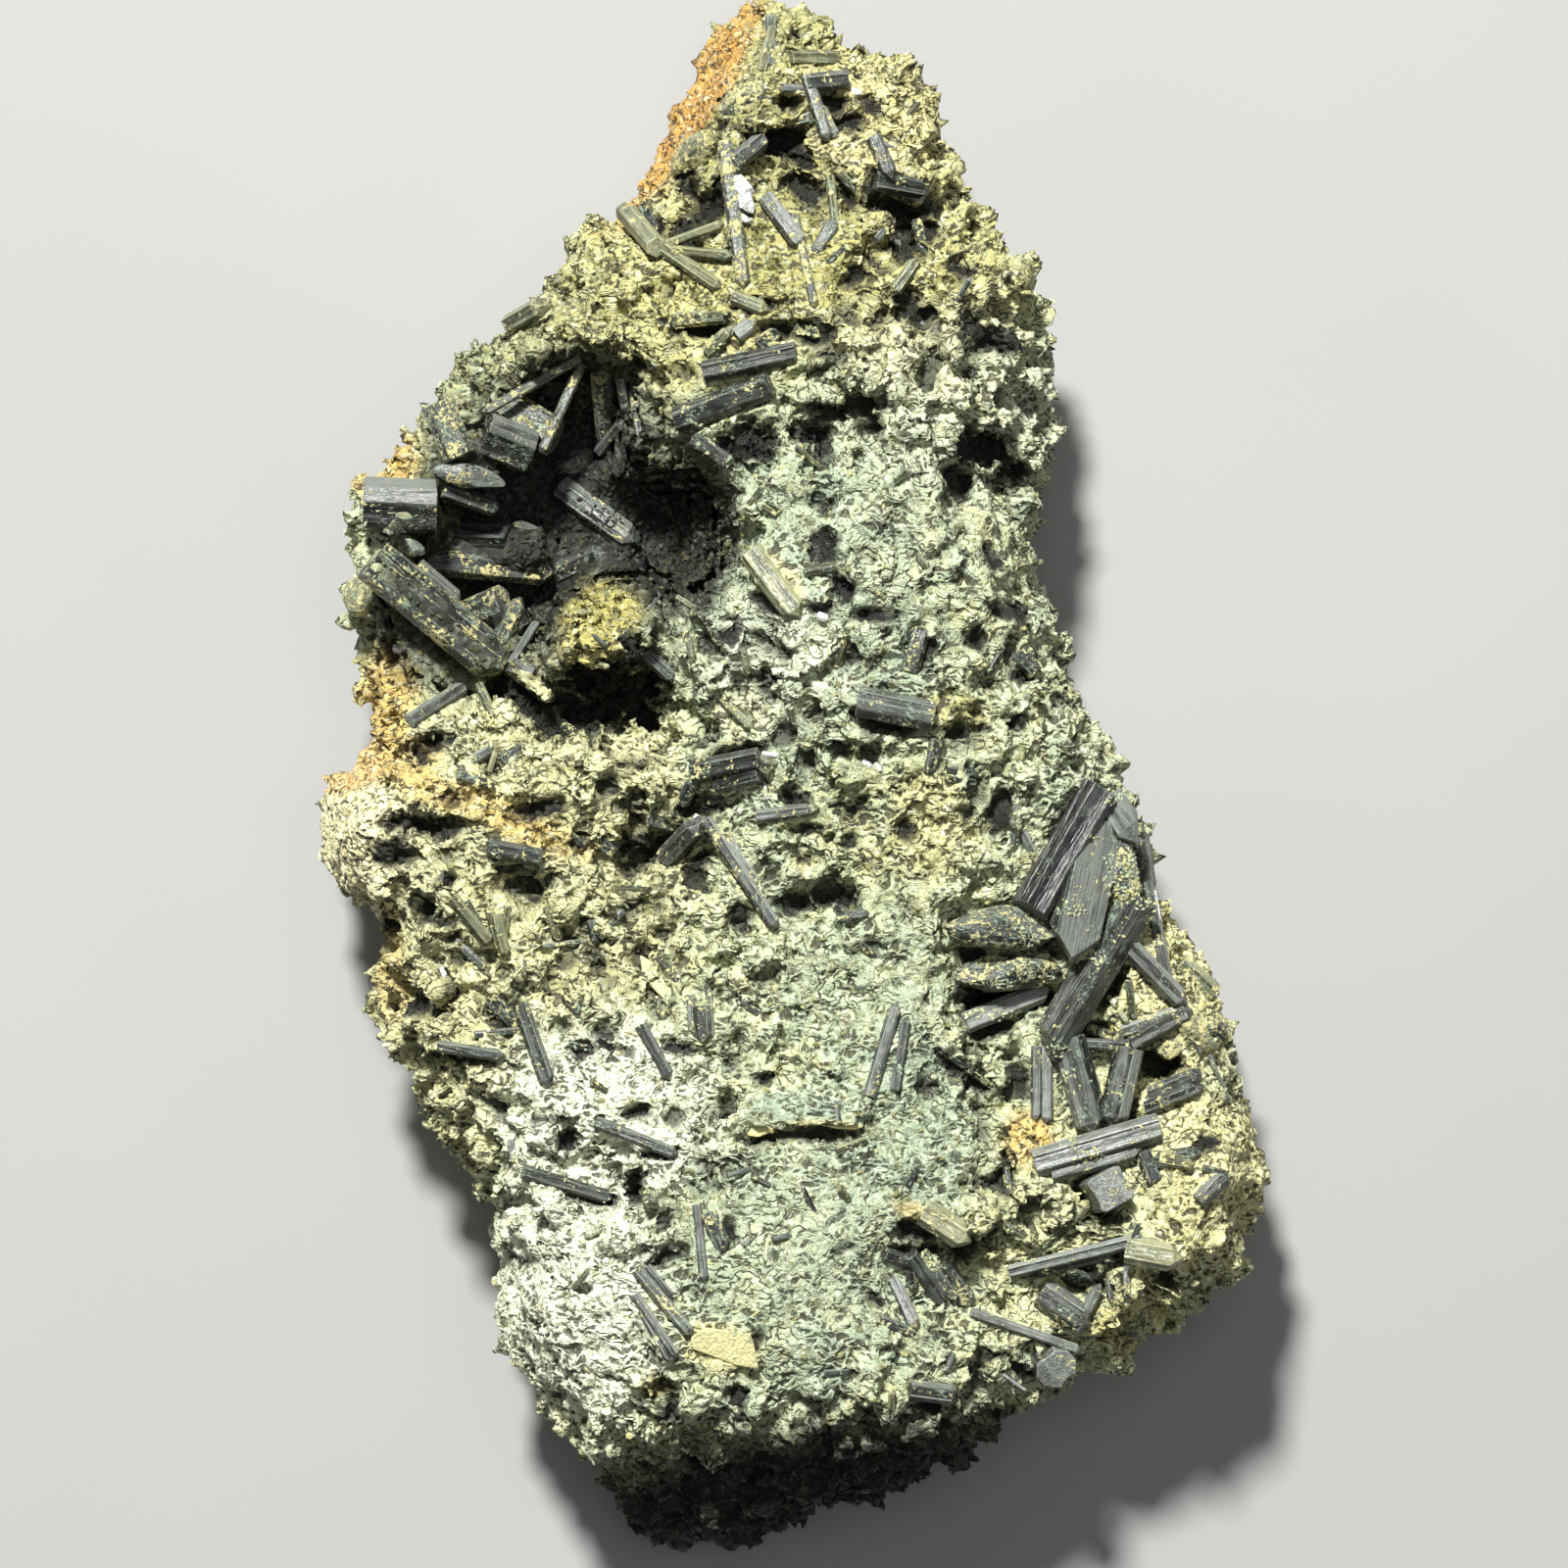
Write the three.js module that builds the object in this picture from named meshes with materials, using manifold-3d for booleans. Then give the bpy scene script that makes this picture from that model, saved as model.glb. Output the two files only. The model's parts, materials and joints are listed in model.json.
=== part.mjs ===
// Epidote crystals on a slab of granular matrix. Millimetres, Z up.
// The slab lies on its broken back with the crystal face up, and +Y points to its narrow tip.
// Places are written in drawing coordinates, and the whole group is centred at the end.

import * as THREE from "three";
import { ConvexGeometry } from "three/addons/geometries/ConvexGeometry.js";
import { mergeVertices } from "three/addons/utils/BufferGeometryUtils.js";
import Module from "manifold-3d";

const wasm = await Module();
wasm.setup();

// Driving dimensions of the slab.
const FACE_HEIGHT = 34;
const LEAST_HEIGHT = 11;
const RIM_SHARE = 0.56;
const EDGE_ROUNDING = 8.5;
const BACK_SHARE_ACROSS = 0.84;
const BACK_SHARE_ALONG = 0.93;

// Between pieces that meet, and how far a seated crystal's socket is deeper than it.
const GAP = 0.3;

// Facet sizes: along the outline, on the plain face and in the pocket.
const OUTLINE_STEP = 3.6;
const PLAIN_STEP = 3.8;
const POCKET_STEP = 2.7;
const FINE_FROM_DEPTH = 1;
const OUT_OF_LINE = 0.45;
const EDGE_MARGIN = 0.62;
const MERGE_DISTANCE = 1e-4;
const FAR_AWAY = 1000;

// The fixed random pattern: its factors, and the layers that shift the facets' corners.
const PATTERN = { across: 127.1, along: 311.7, layer: 74.7, spread: 43758.5453 };
const CORNER_LAYERS = { across: 3, along: 4 };

// The slab's outline seen from above, clockwise from the tip.
const OUTLINE = [
  [-6, 75.4], [-1, 76.7], [3.8, 75.2], [6.2, 72.2], [8.2, 72.5], [12.2, 70.3], [15, 66.2],
  [17, 60.8], [18.6, 55.8], [21, 53.4], [23.4, 51.6], [24.7, 47.6], [25.3, 43], [25.6, 39.2],
  [27, 35.6], [27.2, 33.2], [25.8, 30], [24.4, 29], [24.8, 26], [24.3, 22.5], [25.3, 18.8],
  [27.3, 13], [30, 6.6], [32.8, 1], [34.3, -3], [36.1, -8.4], [38.2, -14], [41.4, -17.8],
  [43.6, -22.5], [44.5, -28], [45.9, -33.6], [47.4, -37.4], [47.4, -39.4], [45.5, -41],
  [45.3, -45.8], [43, -48.8], [37.6, -52], [34.4, -55.2], [32.6, -56.8], [27.4, -58],
  [26.7, -60], [22.5, -61.5], [19.6, -63.8], [15, -66.6], [9.4, -69.4], [2.8, -71.8],
  [-1, -74], [-4, -74.8], [-9.5, -74.2], [-13.8, -74], [-16, -71], [-17.6, -67.4],
  [-19.4, -65.8], [-22, -62], [-25.4, -58], [-27.8, -54.2], [-28.1, -50.6], [-27.7, -46.8],
  [-28.7, -42.8], [-28.5, -39.8], [-30.2, -38.2], [-32.4, -34.6], [-34.7, -31], [-37, -27.2],
  [-39, -23.2], [-39.5, -18.6], [-39, -14], [-40, -12.4], [-42.4, -11.2], [-44.6, -9.6],
  [-45, -5.6], [-45.3, -1.6], [-43.6, 0.6], [-40.8, 2.8], [-39.8, 5.2], [-40.6, 9.4],
  [-40.8, 12.6], [-42.2, 15.8], [-42.8, 18.2], [-41.8, 20.4], [-42.4, 23.2], [-42.7, 25.8],
  [-41.2, 29], [-39.6, 30.6], [-35.8, 32.4], [-34.9, 35.6], [-34.1, 37.6], [-30.9, 42.2],
  [-28, 43.7], [-25.4, 45.2], [-24.3, 48.3], [-21.7, 51.6], [-20.5, 54], [-17, 55.8],
  [-15.2, 56.9], [-13, 61], [-10.4, 66.5], [-8.4, 70.3], [-7.2, 73.4],
];

// Broad swells of the face: middle, half sizes, turn in degrees and rise.
const HILLS = [
  { at: [8, 22], half: [15, 28], turn: 8, rise: 8 },
  { at: [-5, -44], half: [20, 17], turn: 0, rise: 5.5 },
  { at: [-32, -6], half: [11, 9], turn: 0, rise: 2.5 },
  { at: [20, 48], half: [6, 6], turn: 0, rise: 3.5 },
  { at: [4, 70], half: [14, 14], turn: 0, rise: -5 },
  { at: [-20, 50], half: [8, 9], turn: -40, rise: -4 },
  { at: [43, -34], half: [6, 15], turn: 12, rise: 1.5 },
  { at: [28, -50], half: [9, 6], turn: 20, rise: -3 },
];

// The deep pocket on the left, as overlapping hollows, and the granular knob left standing in it.
const POCKET = [
  { at: [-22.5, 24.5], half: [12.5, 11], turn: 0, rise: -20 },
  { at: [-20, 36.5], half: [5.5, 5], turn: 0, rise: -15 },
  { at: [-32, 15.5], half: [7.5, 7.5], turn: -38, rise: -11 },
  { at: [-9.4, 24], half: [5.2, 7], turn: 0, rise: -16 },
];
const KNOB = { at: [-17, 15.5], half: [4.6, 5.6], turn: -15, rise: 8 };

// Smaller pits, cracks and sunken ground.
const PITS = [
  { at: [-16, 8.2], half: [7.5, 3.4], turn: -12, rise: -9 },
  { at: [-31, 7], half: [5.5, 3.2], turn: 10, rise: -5 },
  { at: [-29, 38], half: [4, 3], turn: 20, rise: -6 },
  { at: [19.5, 30], half: [5.2, 3.6], turn: -8, rise: -9 },
  { at: [4.5, 34.2], half: [4.5, 2.6], turn: 0, rise: -6 },
  { at: [-12, -6.4], half: [5.2, 2.6], turn: 8, rise: -6 },
  { at: [3.4, -11.2], half: [3.6, 1.6], turn: 0, rise: -5 },
  { at: [-18, -38.3], half: [5.4, 2.2], turn: -22, rise: -5.5 },
  { at: [-10, 54.5], half: [3.6, 2.6], turn: 0, rise: -5 },
  { at: [0.5, 61], half: [2.6, 3.2], turn: 0, rise: -5 },
  { at: [11.5, 55], half: [3.2, 2.6], turn: 0, rise: -5 },
  { at: [28.5, -24], half: [12, 17], turn: 14, rise: -5 },
  { at: [24, -48], half: [9, 5.5], turn: 14, rise: -4 },
  { at: [35.8, -27.2], half: [2.8, 2.2], turn: 0, rise: -7 },
  { at: [21, -20.6], half: [4.8, 2], turn: 4, rise: -5 },
  { at: [14, -47.5], half: [4.5, 3.6], turn: 0, rise: -4 },
];

// A hollow is flat out to the first share of its half size and ends at the second.
const HOLLOW_FLOOR = 0.55;
const HOLLOW_LIP = 1.3;

// Lumps of the broken rock: their size, how far they stand up, and their own pattern.
const ROCK_LUMPS = [
  { size: 6, rise: 0.9, layer: 1 },
  { size: 3.2, rise: 0.6, layer: 2 },
];

// Broken planes that cut the face down: a point on the plane, its level and its slopes.
const TIP_BEVEL = { at: [-11, 63], level: 15, slope: [2.6, -1.5] };
const TIP_BEVEL_REACH = { right: 6, below: 56 };
const FOOT_BEVEL = { at: [0, -61.8], level: 33, slope: [0.02, 1.55] };
const FOOT_BEVEL_LEFT = -16.6;

// Rings down the broken sides: share of the rim's height, and share of the way to the back's size.
const SIDE_RINGS = [
  { height: 0.8, inset: 0.04 },
  { height: 0.56, inset: 0.24 },
  { height: 0.3, inset: 0.56 },
  { height: 0.1, inset: 0.84 },
  { height: 0, inset: 1 },
];
const SIDE_LUMPS = { size: 9, rise: 1.3, layer: 5 };

// The crust that lines the pocket.
const CRUST_EDGE_DEPTH = 4;
const CRUST_FULL_DEPTH = 10;
const CRUST_THICKNESS = 1.5;
const CRUST_LUMPS = { size: 2.6, rise: 0.7, layer: 7 };

// A crystal's section across its axis, and its tip, as shares of its width and thickness.
// A crystal narrower than a needle's width has the lozenge section.
const HEXAGON = [[0.5, 0], [0.28, 0.5], [-0.28, 0.5], [-0.5, 0], [-0.28, -0.5], [0.28, -0.5]];
const LOZENGE = [[0.5, 0], [0, 0.5], [-0.5, 0], [0, -0.5]];
const LENS_STATIONS = [[0, 0.35], [0.28, 0.92], [0.72, 0.92], [1, 0.35]];
const NEEDLE_WIDTH = 1.7;
const TIP_SLANT = 0.5;
const TIP_SHARE = 0.45;
const BUTT_SHARE = 0.9;

// Crystals. from and to are the ends of the axis, wide and thick the section's sizes, and roll
// turns it about the axis. A tip is a wedge unless it is given as flat or as a lens's point.
const POCKET_CRYSTALS = [
  { from: [-40.5, 27, 28.2], to: [-33.4, 26.7, 28], wide: 4.9, thick: 4.4, roll: 30, tip: "flat" },
  { from: [-31.6, 23.2, 18.5], to: [-23.2, 22.5, 20.4], wide: 5.3, thick: 4.6, tip: "flat" },
  { from: [-34.6, 21.9, 21], to: [-22.4, 20.5, 18.4], wide: 2.4, thick: 2.2 },
  { from: [-33.4, 33.4, 28.4], to: [-27.6, 31, 24.6], wide: 3.6, thick: 3 },
  { from: [-27.4, 36.4, 22], to: [-23.4, 32.6, 24], wide: 3.8, thick: 3, tip: "flat" },
  { from: [-33.6, 30.6, 27.6], to: [-26.8, 28.5, 24.6], wide: 2, thick: 1.7 },
  { from: [-21.9, 29, 16.4], to: [-14.4, 23.5, 18.2], wide: 2.7, thick: 2.1, roll: 12 },
  { from: [-39.6, 21.6, 29.8], to: [-27, 11, 27.2], wide: 4.4, thick: 3.4, roll: -10 },
  { from: [-35.2, 21.1, 28.8], to: [-31.2, 17.7, 27.6], wide: 1.4, thick: 1.2 },
  { from: [-31, 16.2, 20.4], to: [-27.2, 17.8, 22.6], wide: 3.2, thick: 3, tip: "flat" },
  { from: [-27.6, 13.6, 23], to: [-25.6, 18, 23.6], wide: 2, thick: 1.6 },
  { from: [-26.3, 11.5, 29.4], to: [-22.1, 8, 30.2], wide: 1.8, thick: 1.5 },
  { from: [-20.8, 38.4, 29.5], to: [-24.9, 30.2, 22.5], wide: 1, thick: 0.9 },
  { from: [-20.9, 41.2, 33.4], to: [-30, 33.6, 26], wide: 1, thick: 0.9 },
  { from: [-17.8, 39.8, 23], to: [-17.3, 33, 16.8], wide: 2, thick: 1.7 },
  { from: [-22, 20.6, 15.9], to: [-17.2, 22.6, 18.4], wide: 2.4, thick: 2 },
];

// Crystals that stand out as pieces of their own. Those that cross in one group are grown together.
const CRYSTAL_GROUPS = {
  blade_cluster: {
    finish: "dark",
    crystals: [
      { from: [32.3, -0.9, 26.8], to: [26.5, -16.4, 32.8], wide: 7.6, thick: 4.6, roll: 14 },
      { from: [34.2, -11.4, 30.4], to: [24.9, -26.2, 31.2], wide: 4.7, thick: 3.4, roll: -10 },
      { from: [33, -15.4, 29.9], to: [38.7, -21.3, 30.4], wide: 2, thick: 1.7 },
      { from: [27.3, -24.4, 30.3], to: [29.6, -33.7, 30.4], wide: 3.8, thick: 2.8, roll: 8 },
      { from: [33.2, -25.4, 29.8], to: [31.4, -33.2, 30.3], wide: 3.3, thick: 2.6, roll: 14 },
      { from: [26.6, -24.9, 29.6], to: [35, -25.3, 29.6], wide: 1.2, thick: 1.1 },
      { from: [33.4, -25, 30.2], to: [39.2, -21.7, 30.8], wide: 1.7, thick: 1.5 },
    ],
  },
  cross_prism: {
    finish: "grey",
    crystals: [
      { from: [24, -36.4, 31.8], to: [36.1, -32.9, 31.3], wide: 2.8, thick: 2.2, tip: "flat" },
      { from: [25.6, -37.3, 31.5], to: [34.4, -35, 31], wide: 2, thick: 1.6 },
    ],
  },
  square_prism: {
    finish: "grey",
    crystals: [
      { from: [29.4, -39.6, 26], to: [31.4, -38.6, 35], wide: 3.8, thick: 3.8, tip: "flat" },
    ],
  },
  upper_lens: {
    finish: "dark",
    crystals: [
      { from: [15.6, -13.6, 35.2], to: [26.2, -14, 31.8], wide: 4.3, thick: 3.8, tip: "lens" },
    ],
  },
  lower_lens: {
    finish: "dark",
    crystals: [
      { from: [16.4, -18.3, 33.6], to: [26.6, -18, 31.2], wide: 3.5, thick: 3.4, tip: "lens" },
    ],
  },
  pale_rod: {
    finish: "grey",
    crystals: [
      { from: [17.4, -23, 30.8], to: [25.6, -19.7, 28.2], wide: 2.1, thick: 1.8 },
    ],
  },
  long_rod: {
    finish: "olive",
    crystals: [
      { from: [21.7, -46.9, 30.2], to: [34.7, -43.5, 33.2], wide: 1.4, thick: 1.3 },
      { from: [23.6, -47.1, 29.8], to: [31.6, -44.8, 31.8], wide: 1.3, thick: 1.2 },
    ],
  },
  low_cluster: {
    finish: "dark",
    crystals: [
      { from: [24.8, -48.9, 28.8], to: [29.4, -52, 29.6], wide: 3, thick: 2.2 },
      { from: [28.1, -52.6, 29.4], to: [30.5, -48.1, 29.4], wide: 1.4, thick: 1.5 },
    ],
  },
  low_end_prism: {
    finish: "grey",
    crystals: [
      { from: [25, -54.8, 24], to: [26.2, -56.2, 30.6], wide: 3.9, thick: 3.2, tip: "flat" },
    ],
  },
  short_prism: {
    finish: "dark",
    crystals: [
      { from: [12, -57.8, 35.6], to: [16.1, -58.4, 34.8], wide: 2, thick: 1.7, tip: "flat" },
    ],
  },
  middle_prisms: {
    finish: "dark",
    crystals: [
      { from: [-8.8, 1.1, 35], to: [-2.3, 2.4, 37], wide: 2.3, thick: 1.9, tip: "flat" },
      { from: [-6.6, -0.1, 35.2], to: [-2.3, 0.9, 36.8], wide: 1.6, thick: 1.4, tip: "flat" },
    ],
  },
  middle_blade: {
    finish: "grey",
    crystals: [
      { from: [-7.5, -3.4, 34.6], to: [-0.5, -13.9, 36], wide: 1.4, thick: 1.1 },
    ],
  },
  middle_stub: {
    finish: "dark",
    crystals: [
      { from: [-11.3, -7.1, 29.6], to: [-7.9, -3.6, 34.2], wide: 2.3, thick: 2 },
    ],
  },
  ridge_prism: {
    finish: "dark",
    crystals: [
      { from: [7.1, 8.4, 40], to: [14.1, 7, 39.6], wide: 2.4, thick: 1.9, tip: "flat" },
    ],
  },
  left_prism: {
    finish: "dark",
    crystals: [
      { from: [-28.2, -6, 37], to: [-23.1, -7.1, 36.3], wide: 1.8, thick: 1.7, tip: "flat" },
    ],
  },
  left_blade: {
    finish: "dark",
    crystals: [
      { from: [-25.2, -21, 34.7], to: [-22.5, -28.8, 34.6], wide: 1.6, thick: 1.4 },
    ],
  },
  lower_blades: {
    finish: "grey",
    crystals: [
      { from: [-14.3, -46, 38.5], to: [-8.6, -52.8, 39.4], wide: 1.9, thick: 1.4 },
      { from: [-13.8, -47.9, 38.4], to: [-9.7, -54.6, 39], wide: 1.4, thick: 1.2 },
    ],
  },
  top_blade: {
    finish: "grey",
    crystals: [
      { from: [-5.7, 61.5, 33.2], to: [-3.9, 47.4, 36.9], wide: 1.8, thick: 1.4 },
      { from: [-5, 59.2, 33.9], to: [-1.8, 62.1, 30.4], wide: 1.9, thick: 1.6 },
    ],
  },
  white_grain: {
    finish: "white",
    crystals: [
      { from: [-4.1, 58.2, 34.2], to: [-3.5, 54.6, 34.9], wide: 2, thick: 1.8, tip: "lens" },
    ],
  },
  stacked_prisms: {
    finish: "dark",
    crystals: [
      { from: [2.1, 67.4, 29.1], to: [6.2, 67.9, 28.1], wide: 1.9, thick: 1.7, tip: "flat" },
      { from: [2.2, 68.2, 28.8], to: [4.2, 61.9, 30.3], wide: 1.3, thick: 1.2 },
    ],
  },
  top_pair: {
    finish: "grey",
    crystals: [
      { from: [-1.8, 56.2, 33.8], to: [1.8, 51.3, 35.8], wide: 1.7, thick: 1.3 },
      { from: [1, 54.4, 34.4], to: [2.9, 45.5, 38.2], wide: 1.1, thick: 1 },
    ],
  },
  fan_prisms: {
    finish: "olive",
    crystals: [
      { from: [-11.5, 51.3, 33], to: [-6, 47.3, 36.3], wide: 1.3, thick: 1.1 },
      { from: [-11.1, 51.1, 33.1], to: [-4.8, 50.4, 36.1], wide: 1.1, thick: 1 },
      { from: [-11.2, 51.7, 32.6], to: [-5.8, 53.6, 34.1], wide: 1, thick: 1 },
    ],
  },
  olive_block: {
    finish: "olive",
    crystals: [
      { from: [-15.4, 55.6, 21.4], to: [-12.2, 51.4, 32.8], wide: 2.1, thick: 1.8 },
    ],
  },
  band_prism: {
    finish: "dark",
    crystals: [
      { from: [-7.7, 39.3, 36.9], to: [1.2, 41.1, 38.5], wide: 2.1, thick: 1.7, tip: "flat" },
    ],
  },
  band_blade: {
    finish: "dark",
    crystals: [
      { from: [-10.3, 34.7, 35.6], to: [-1.2, 38, 38.3], wide: 2.6, thick: 2, tip: "flat" },
    ],
  },
};

// Small crystals, plates and knobs that are one with the matrix.
const FUSED_CRYSTALS = [
  { from: [13.4, -40.8, 35.8], to: [17.8, -43.7, 36.4], wide: 2.8, thick: 1.4 },
  { from: [32.8, -44.5, 33], to: [38.2, -45.5, 34], wide: 2.9, thick: 2 },
  { from: [-3.2, 22.1, 39], to: [1.5, 15.8, 40.8], wide: 2.6, thick: 1.6 },
  { from: [-3.9, -31.5, 36.6], to: [7.6, -31.2, 36.6], wide: 3, thick: 2.2, tip: "flat" },
  { from: [-41.4, 16.2, 22.6], to: [-41, 20.2, 23.2], wide: 3.4, thick: 4, tip: "lens" },
  { from: [0.6, 70, 28.2], to: [5.6, 70.2, 24.8], wide: 1.6, thick: 1.5 },
  { from: [-2.1, 68.6, 27.6], to: [-1, 73.4, 25.2], wide: 1.1, thick: 1.1 },
  { from: [-10.6, 59, 23], to: [-6.6, 62.6, 29.2], wide: 3.6, thick: 3, tip: "lens" },
  { from: [-6.2, 64.8, 27.4], to: [-1.9, 67, 29.6], wide: 3, thick: 2.6, tip: "lens" },
  { from: [-4.9, 46.5, 36.6], to: [-1.5, 45.1, 37.6], wide: 1.5, thick: 1.3 },
  { from: [-8.8, 33, 35.4], to: [-5.1, 30.3, 35.2], wide: 1.8, thick: 1.6 },
  { from: [-15.5, 14.5, 34.6], to: [-10.4, 10, 33.6], wide: 1.5, thick: 1.3 },
  { from: [10.6, -29.2, 35.8], to: [11.7, -22.2, 35.8], wide: 1.1, thick: 1 },
  { from: [9.5, -44.8, 35.8], to: [13.5, -46.4, 33.2], wide: 1.4, thick: 1.3 },
  { from: [12, -45, 34.6], to: [15.2, -49.8, 32], wide: 1.6, thick: 1.4 },
  { from: [15.8, -46, 31.4], to: [17.4, -50.4, 30.8], wide: 1.5, thick: 1.3 },
  { from: [38, -22.6, 31], to: [42, -25.4, 27.6], wide: 3.2, thick: 2, tip: "lens" },
  { from: [36, -36.2, 32], to: [39.6, -35.4, 34], wide: 1.8, thick: 1.6 },
  { from: [34.6, -5, 20.2], to: [35.3, -10.6, 23.8], wide: 1.8, thick: 1.5 },
  { from: [35.2, -9.6, 23.6], to: [36.9, -19.4, 29.8], wide: 1.2, thick: 1.1 },
  { from: [24.3, -25.2, 29.7], to: [24.2, -32.4, 30.2], wide: 1.1, thick: 1.3 },
  { from: [25.2, -25.2, 29.6], to: [25.2, -32.6, 30], wide: 1.3, thick: 1.3 },
  { from: [-36, 6, 30.2], to: [-30.8, 9.5, 25.2], wide: 1.5, thick: 1.3 },
  { from: [35.3, -29.9, 28.6], to: [39.9, -27.8, 31], wide: 1.6, thick: 1.4 },
  { from: [39.6, -39.9, 34.9], to: [42.5, -37.2, 34], wide: 1.7, thick: 1.4 },
  { from: [17.9, -50.7, 31.5], to: [25.6, -53.4, 29.6], wide: 1, thick: 1 },
  { from: [-2.6, -3.1, 35.4], to: [2.8, -2.4, 36.7], wide: 1.3, thick: 1.1 },
  { from: [8.2, -29.8, 36], to: [10.8, -20.8, 35.9], wide: 1.4, thick: 1.2 },
  { from: [-13.7, -23, 36.2], to: [-10.9, -28, 36.3], wide: 1.2, thick: 1.1 },
  { from: [-33.1, -25.1, 33.2], to: [-26.7, -26, 35], wide: 1.2, thick: 1.1 },
  { from: [-18, -32.2, 36.8], to: [-10.1, -35.3, 37.8], wide: 1.2, thick: 1.1 },
  { from: [-8.3, -40, 38.8], to: [-7.6, -47.2, 39.5], wide: 0.9, thick: 0.9 },
  { from: [-25, -37, 34.5], to: [-16.4, -39.7, 32.8], wide: 1.4, thick: 1.2 },
  { from: [8.6, 62, 32.3], to: [10.4, 57.8, 33.4], wide: 1.6, thick: 1.5 },
  { from: [8.8, 57.8, 32.6], to: [14, 57, 30.8], wide: 2, thick: 1.7 },
];

// Finishes seen in daylight.
const FINISHES = {
  matrix: { color: "#a3a679", roughness: 0.8, metalness: 0 },
  crust: { color: "#4c4d3f", roughness: 0.5, metalness: 0 },
  dark: { color: "#2b2e30", roughness: 0.3, metalness: 0 },
  grey: { color: "#6d7276", roughness: 0.35, metalness: 0 },
  olive: { color: "#6e6a3c", roughness: 0.4, metalness: 0 },
  white: { color: "#e6eaec", roughness: 0.4, metalness: 0 },
};

const degrees = THREE.MathUtils.degToRad;
const blend = THREE.MathUtils.lerp;
const ease = THREE.MathUtils.smoothstep;

// A fixed pseudo-random number between 0 and 1 for a lattice point.
function scatter(i, j, layer) {
  const phase = i * PATTERN.across + j * PATTERN.along + layer * PATTERN.layer;
  const wave = Math.sin(phase) * PATTERN.spread;
  return wave - Math.floor(wave);
}

// A smooth random swell between -1 and 1, times the lumps' rise.
function swell({ size, rise, layer }, x, y) {
  const i = Math.floor(x / size);
  const j = Math.floor(y / size);
  const u = ease(x / size - i, 0, 1);
  const v = ease(y / size - j, 0, 1);
  const low = blend(scatter(i, j, layer), scatter(i + 1, j, layer), u);
  const high = blend(scatter(i, j + 1, layer), scatter(i + 1, j + 1, layer), u);
  return rise * (2 * blend(low, high, v) - 1);
}

// How far a place is from a feature's middle, 1 on its edge.
function reach(feature, x, y) {
  const turn = degrees(feature.turn);
  const dx = x - feature.at[0];
  const dy = y - feature.at[1];
  const across = (dx * Math.cos(turn) + dy * Math.sin(turn)) / feature.half[0];
  const along = (dy * Math.cos(turn) - dx * Math.sin(turn)) / feature.half[1];
  return Math.hypot(across, along);
}

function hollowed(hollow, x, y) {
  return hollow.rise * (1 - ease(reach(hollow, x, y), HOLLOW_FLOOR, HOLLOW_LIP));
}

function sum(features, depthOf, x, y) {
  return features.reduce((total, feature) => total + depthOf(feature, x, y), 0);
}

function hill(feature, x, y) {
  return feature.rise * Math.exp(-(reach(feature, x, y) ** 2));
}

function drawOutline() {
  const corners = OUTLINE.map(([x, y]) => new THREE.Vector3(x, y, 0));
  const curve = new THREE.CatmullRomCurve3(corners, true, "centripetal");
  const count = Math.round(curve.getLength() / OUTLINE_STEP);
  return curve.getSpacedPoints(count).slice(0, count).map((p) => [p.x, p.y]);
}
const edge = drawOutline();

function distanceToEdge(x, y) {
  let nearest = Infinity;
  edge.forEach(([ax, ay], i) => {
    const [bx, by] = edge[(i + 1) % edge.length];
    const spanX = bx - ax;
    const spanY = by - ay;
    const along = ((x - ax) * spanX + (y - ay) * spanY) / (spanX * spanX + spanY * spanY);
    const t = THREE.MathUtils.clamp(along, 0, 1);
    nearest = Math.min(nearest, Math.hypot(x - ax - t * spanX, y - ay - t * spanY));
  });
  return nearest;
}

function insideOutline(x, y) {
  let inside = false;
  edge.forEach(([ax, ay], i) => {
    const [bx, by] = edge[(i + 1) % edge.length];
    if ((ay > y) !== (by > y) && x < ax + ((y - ay) * (bx - ax)) / (by - ay)) {
      inside = !inside;
    }
  });
  return inside;
}

function pocketDepth(x, y) {
  return -sum(POCKET, hollowed, x, y) - hollowed(KNOB, x, y);
}

function bevel(plane, x, y) {
  return plane.level + (x - plane.at[0]) * plane.slope[0] + (y - plane.at[1]) * plane.slope[1];
}

// Height of the slab's upper surface.
function ground(x, y) {
  const inward = Math.min(distanceToEdge(x, y) / EDGE_ROUNDING, 1);
  const rounding = Math.sqrt(1 - (1 - inward) ** 2);
  let height = FACE_HEIGHT + sum(HILLS, hill, x, y) + sum(PITS, hollowed, x, y);
  height -= pocketDepth(x, y);
  height *= blend(RIM_SHARE, 1, rounding);
  if (x < TIP_BEVEL_REACH.right && y > TIP_BEVEL_REACH.below) {
    height = Math.min(height, bevel(TIP_BEVEL, x, y));
  }
  if (x > FOOT_BEVEL_LEFT) {
    height = Math.min(height, bevel(FOOT_BEVEL, x, y));
  }
  height = Math.max(height, LEAST_HEIGHT);
  return ROCK_LUMPS.reduce((total, rough) => total + swell(rough, x, y), height);
}

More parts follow.
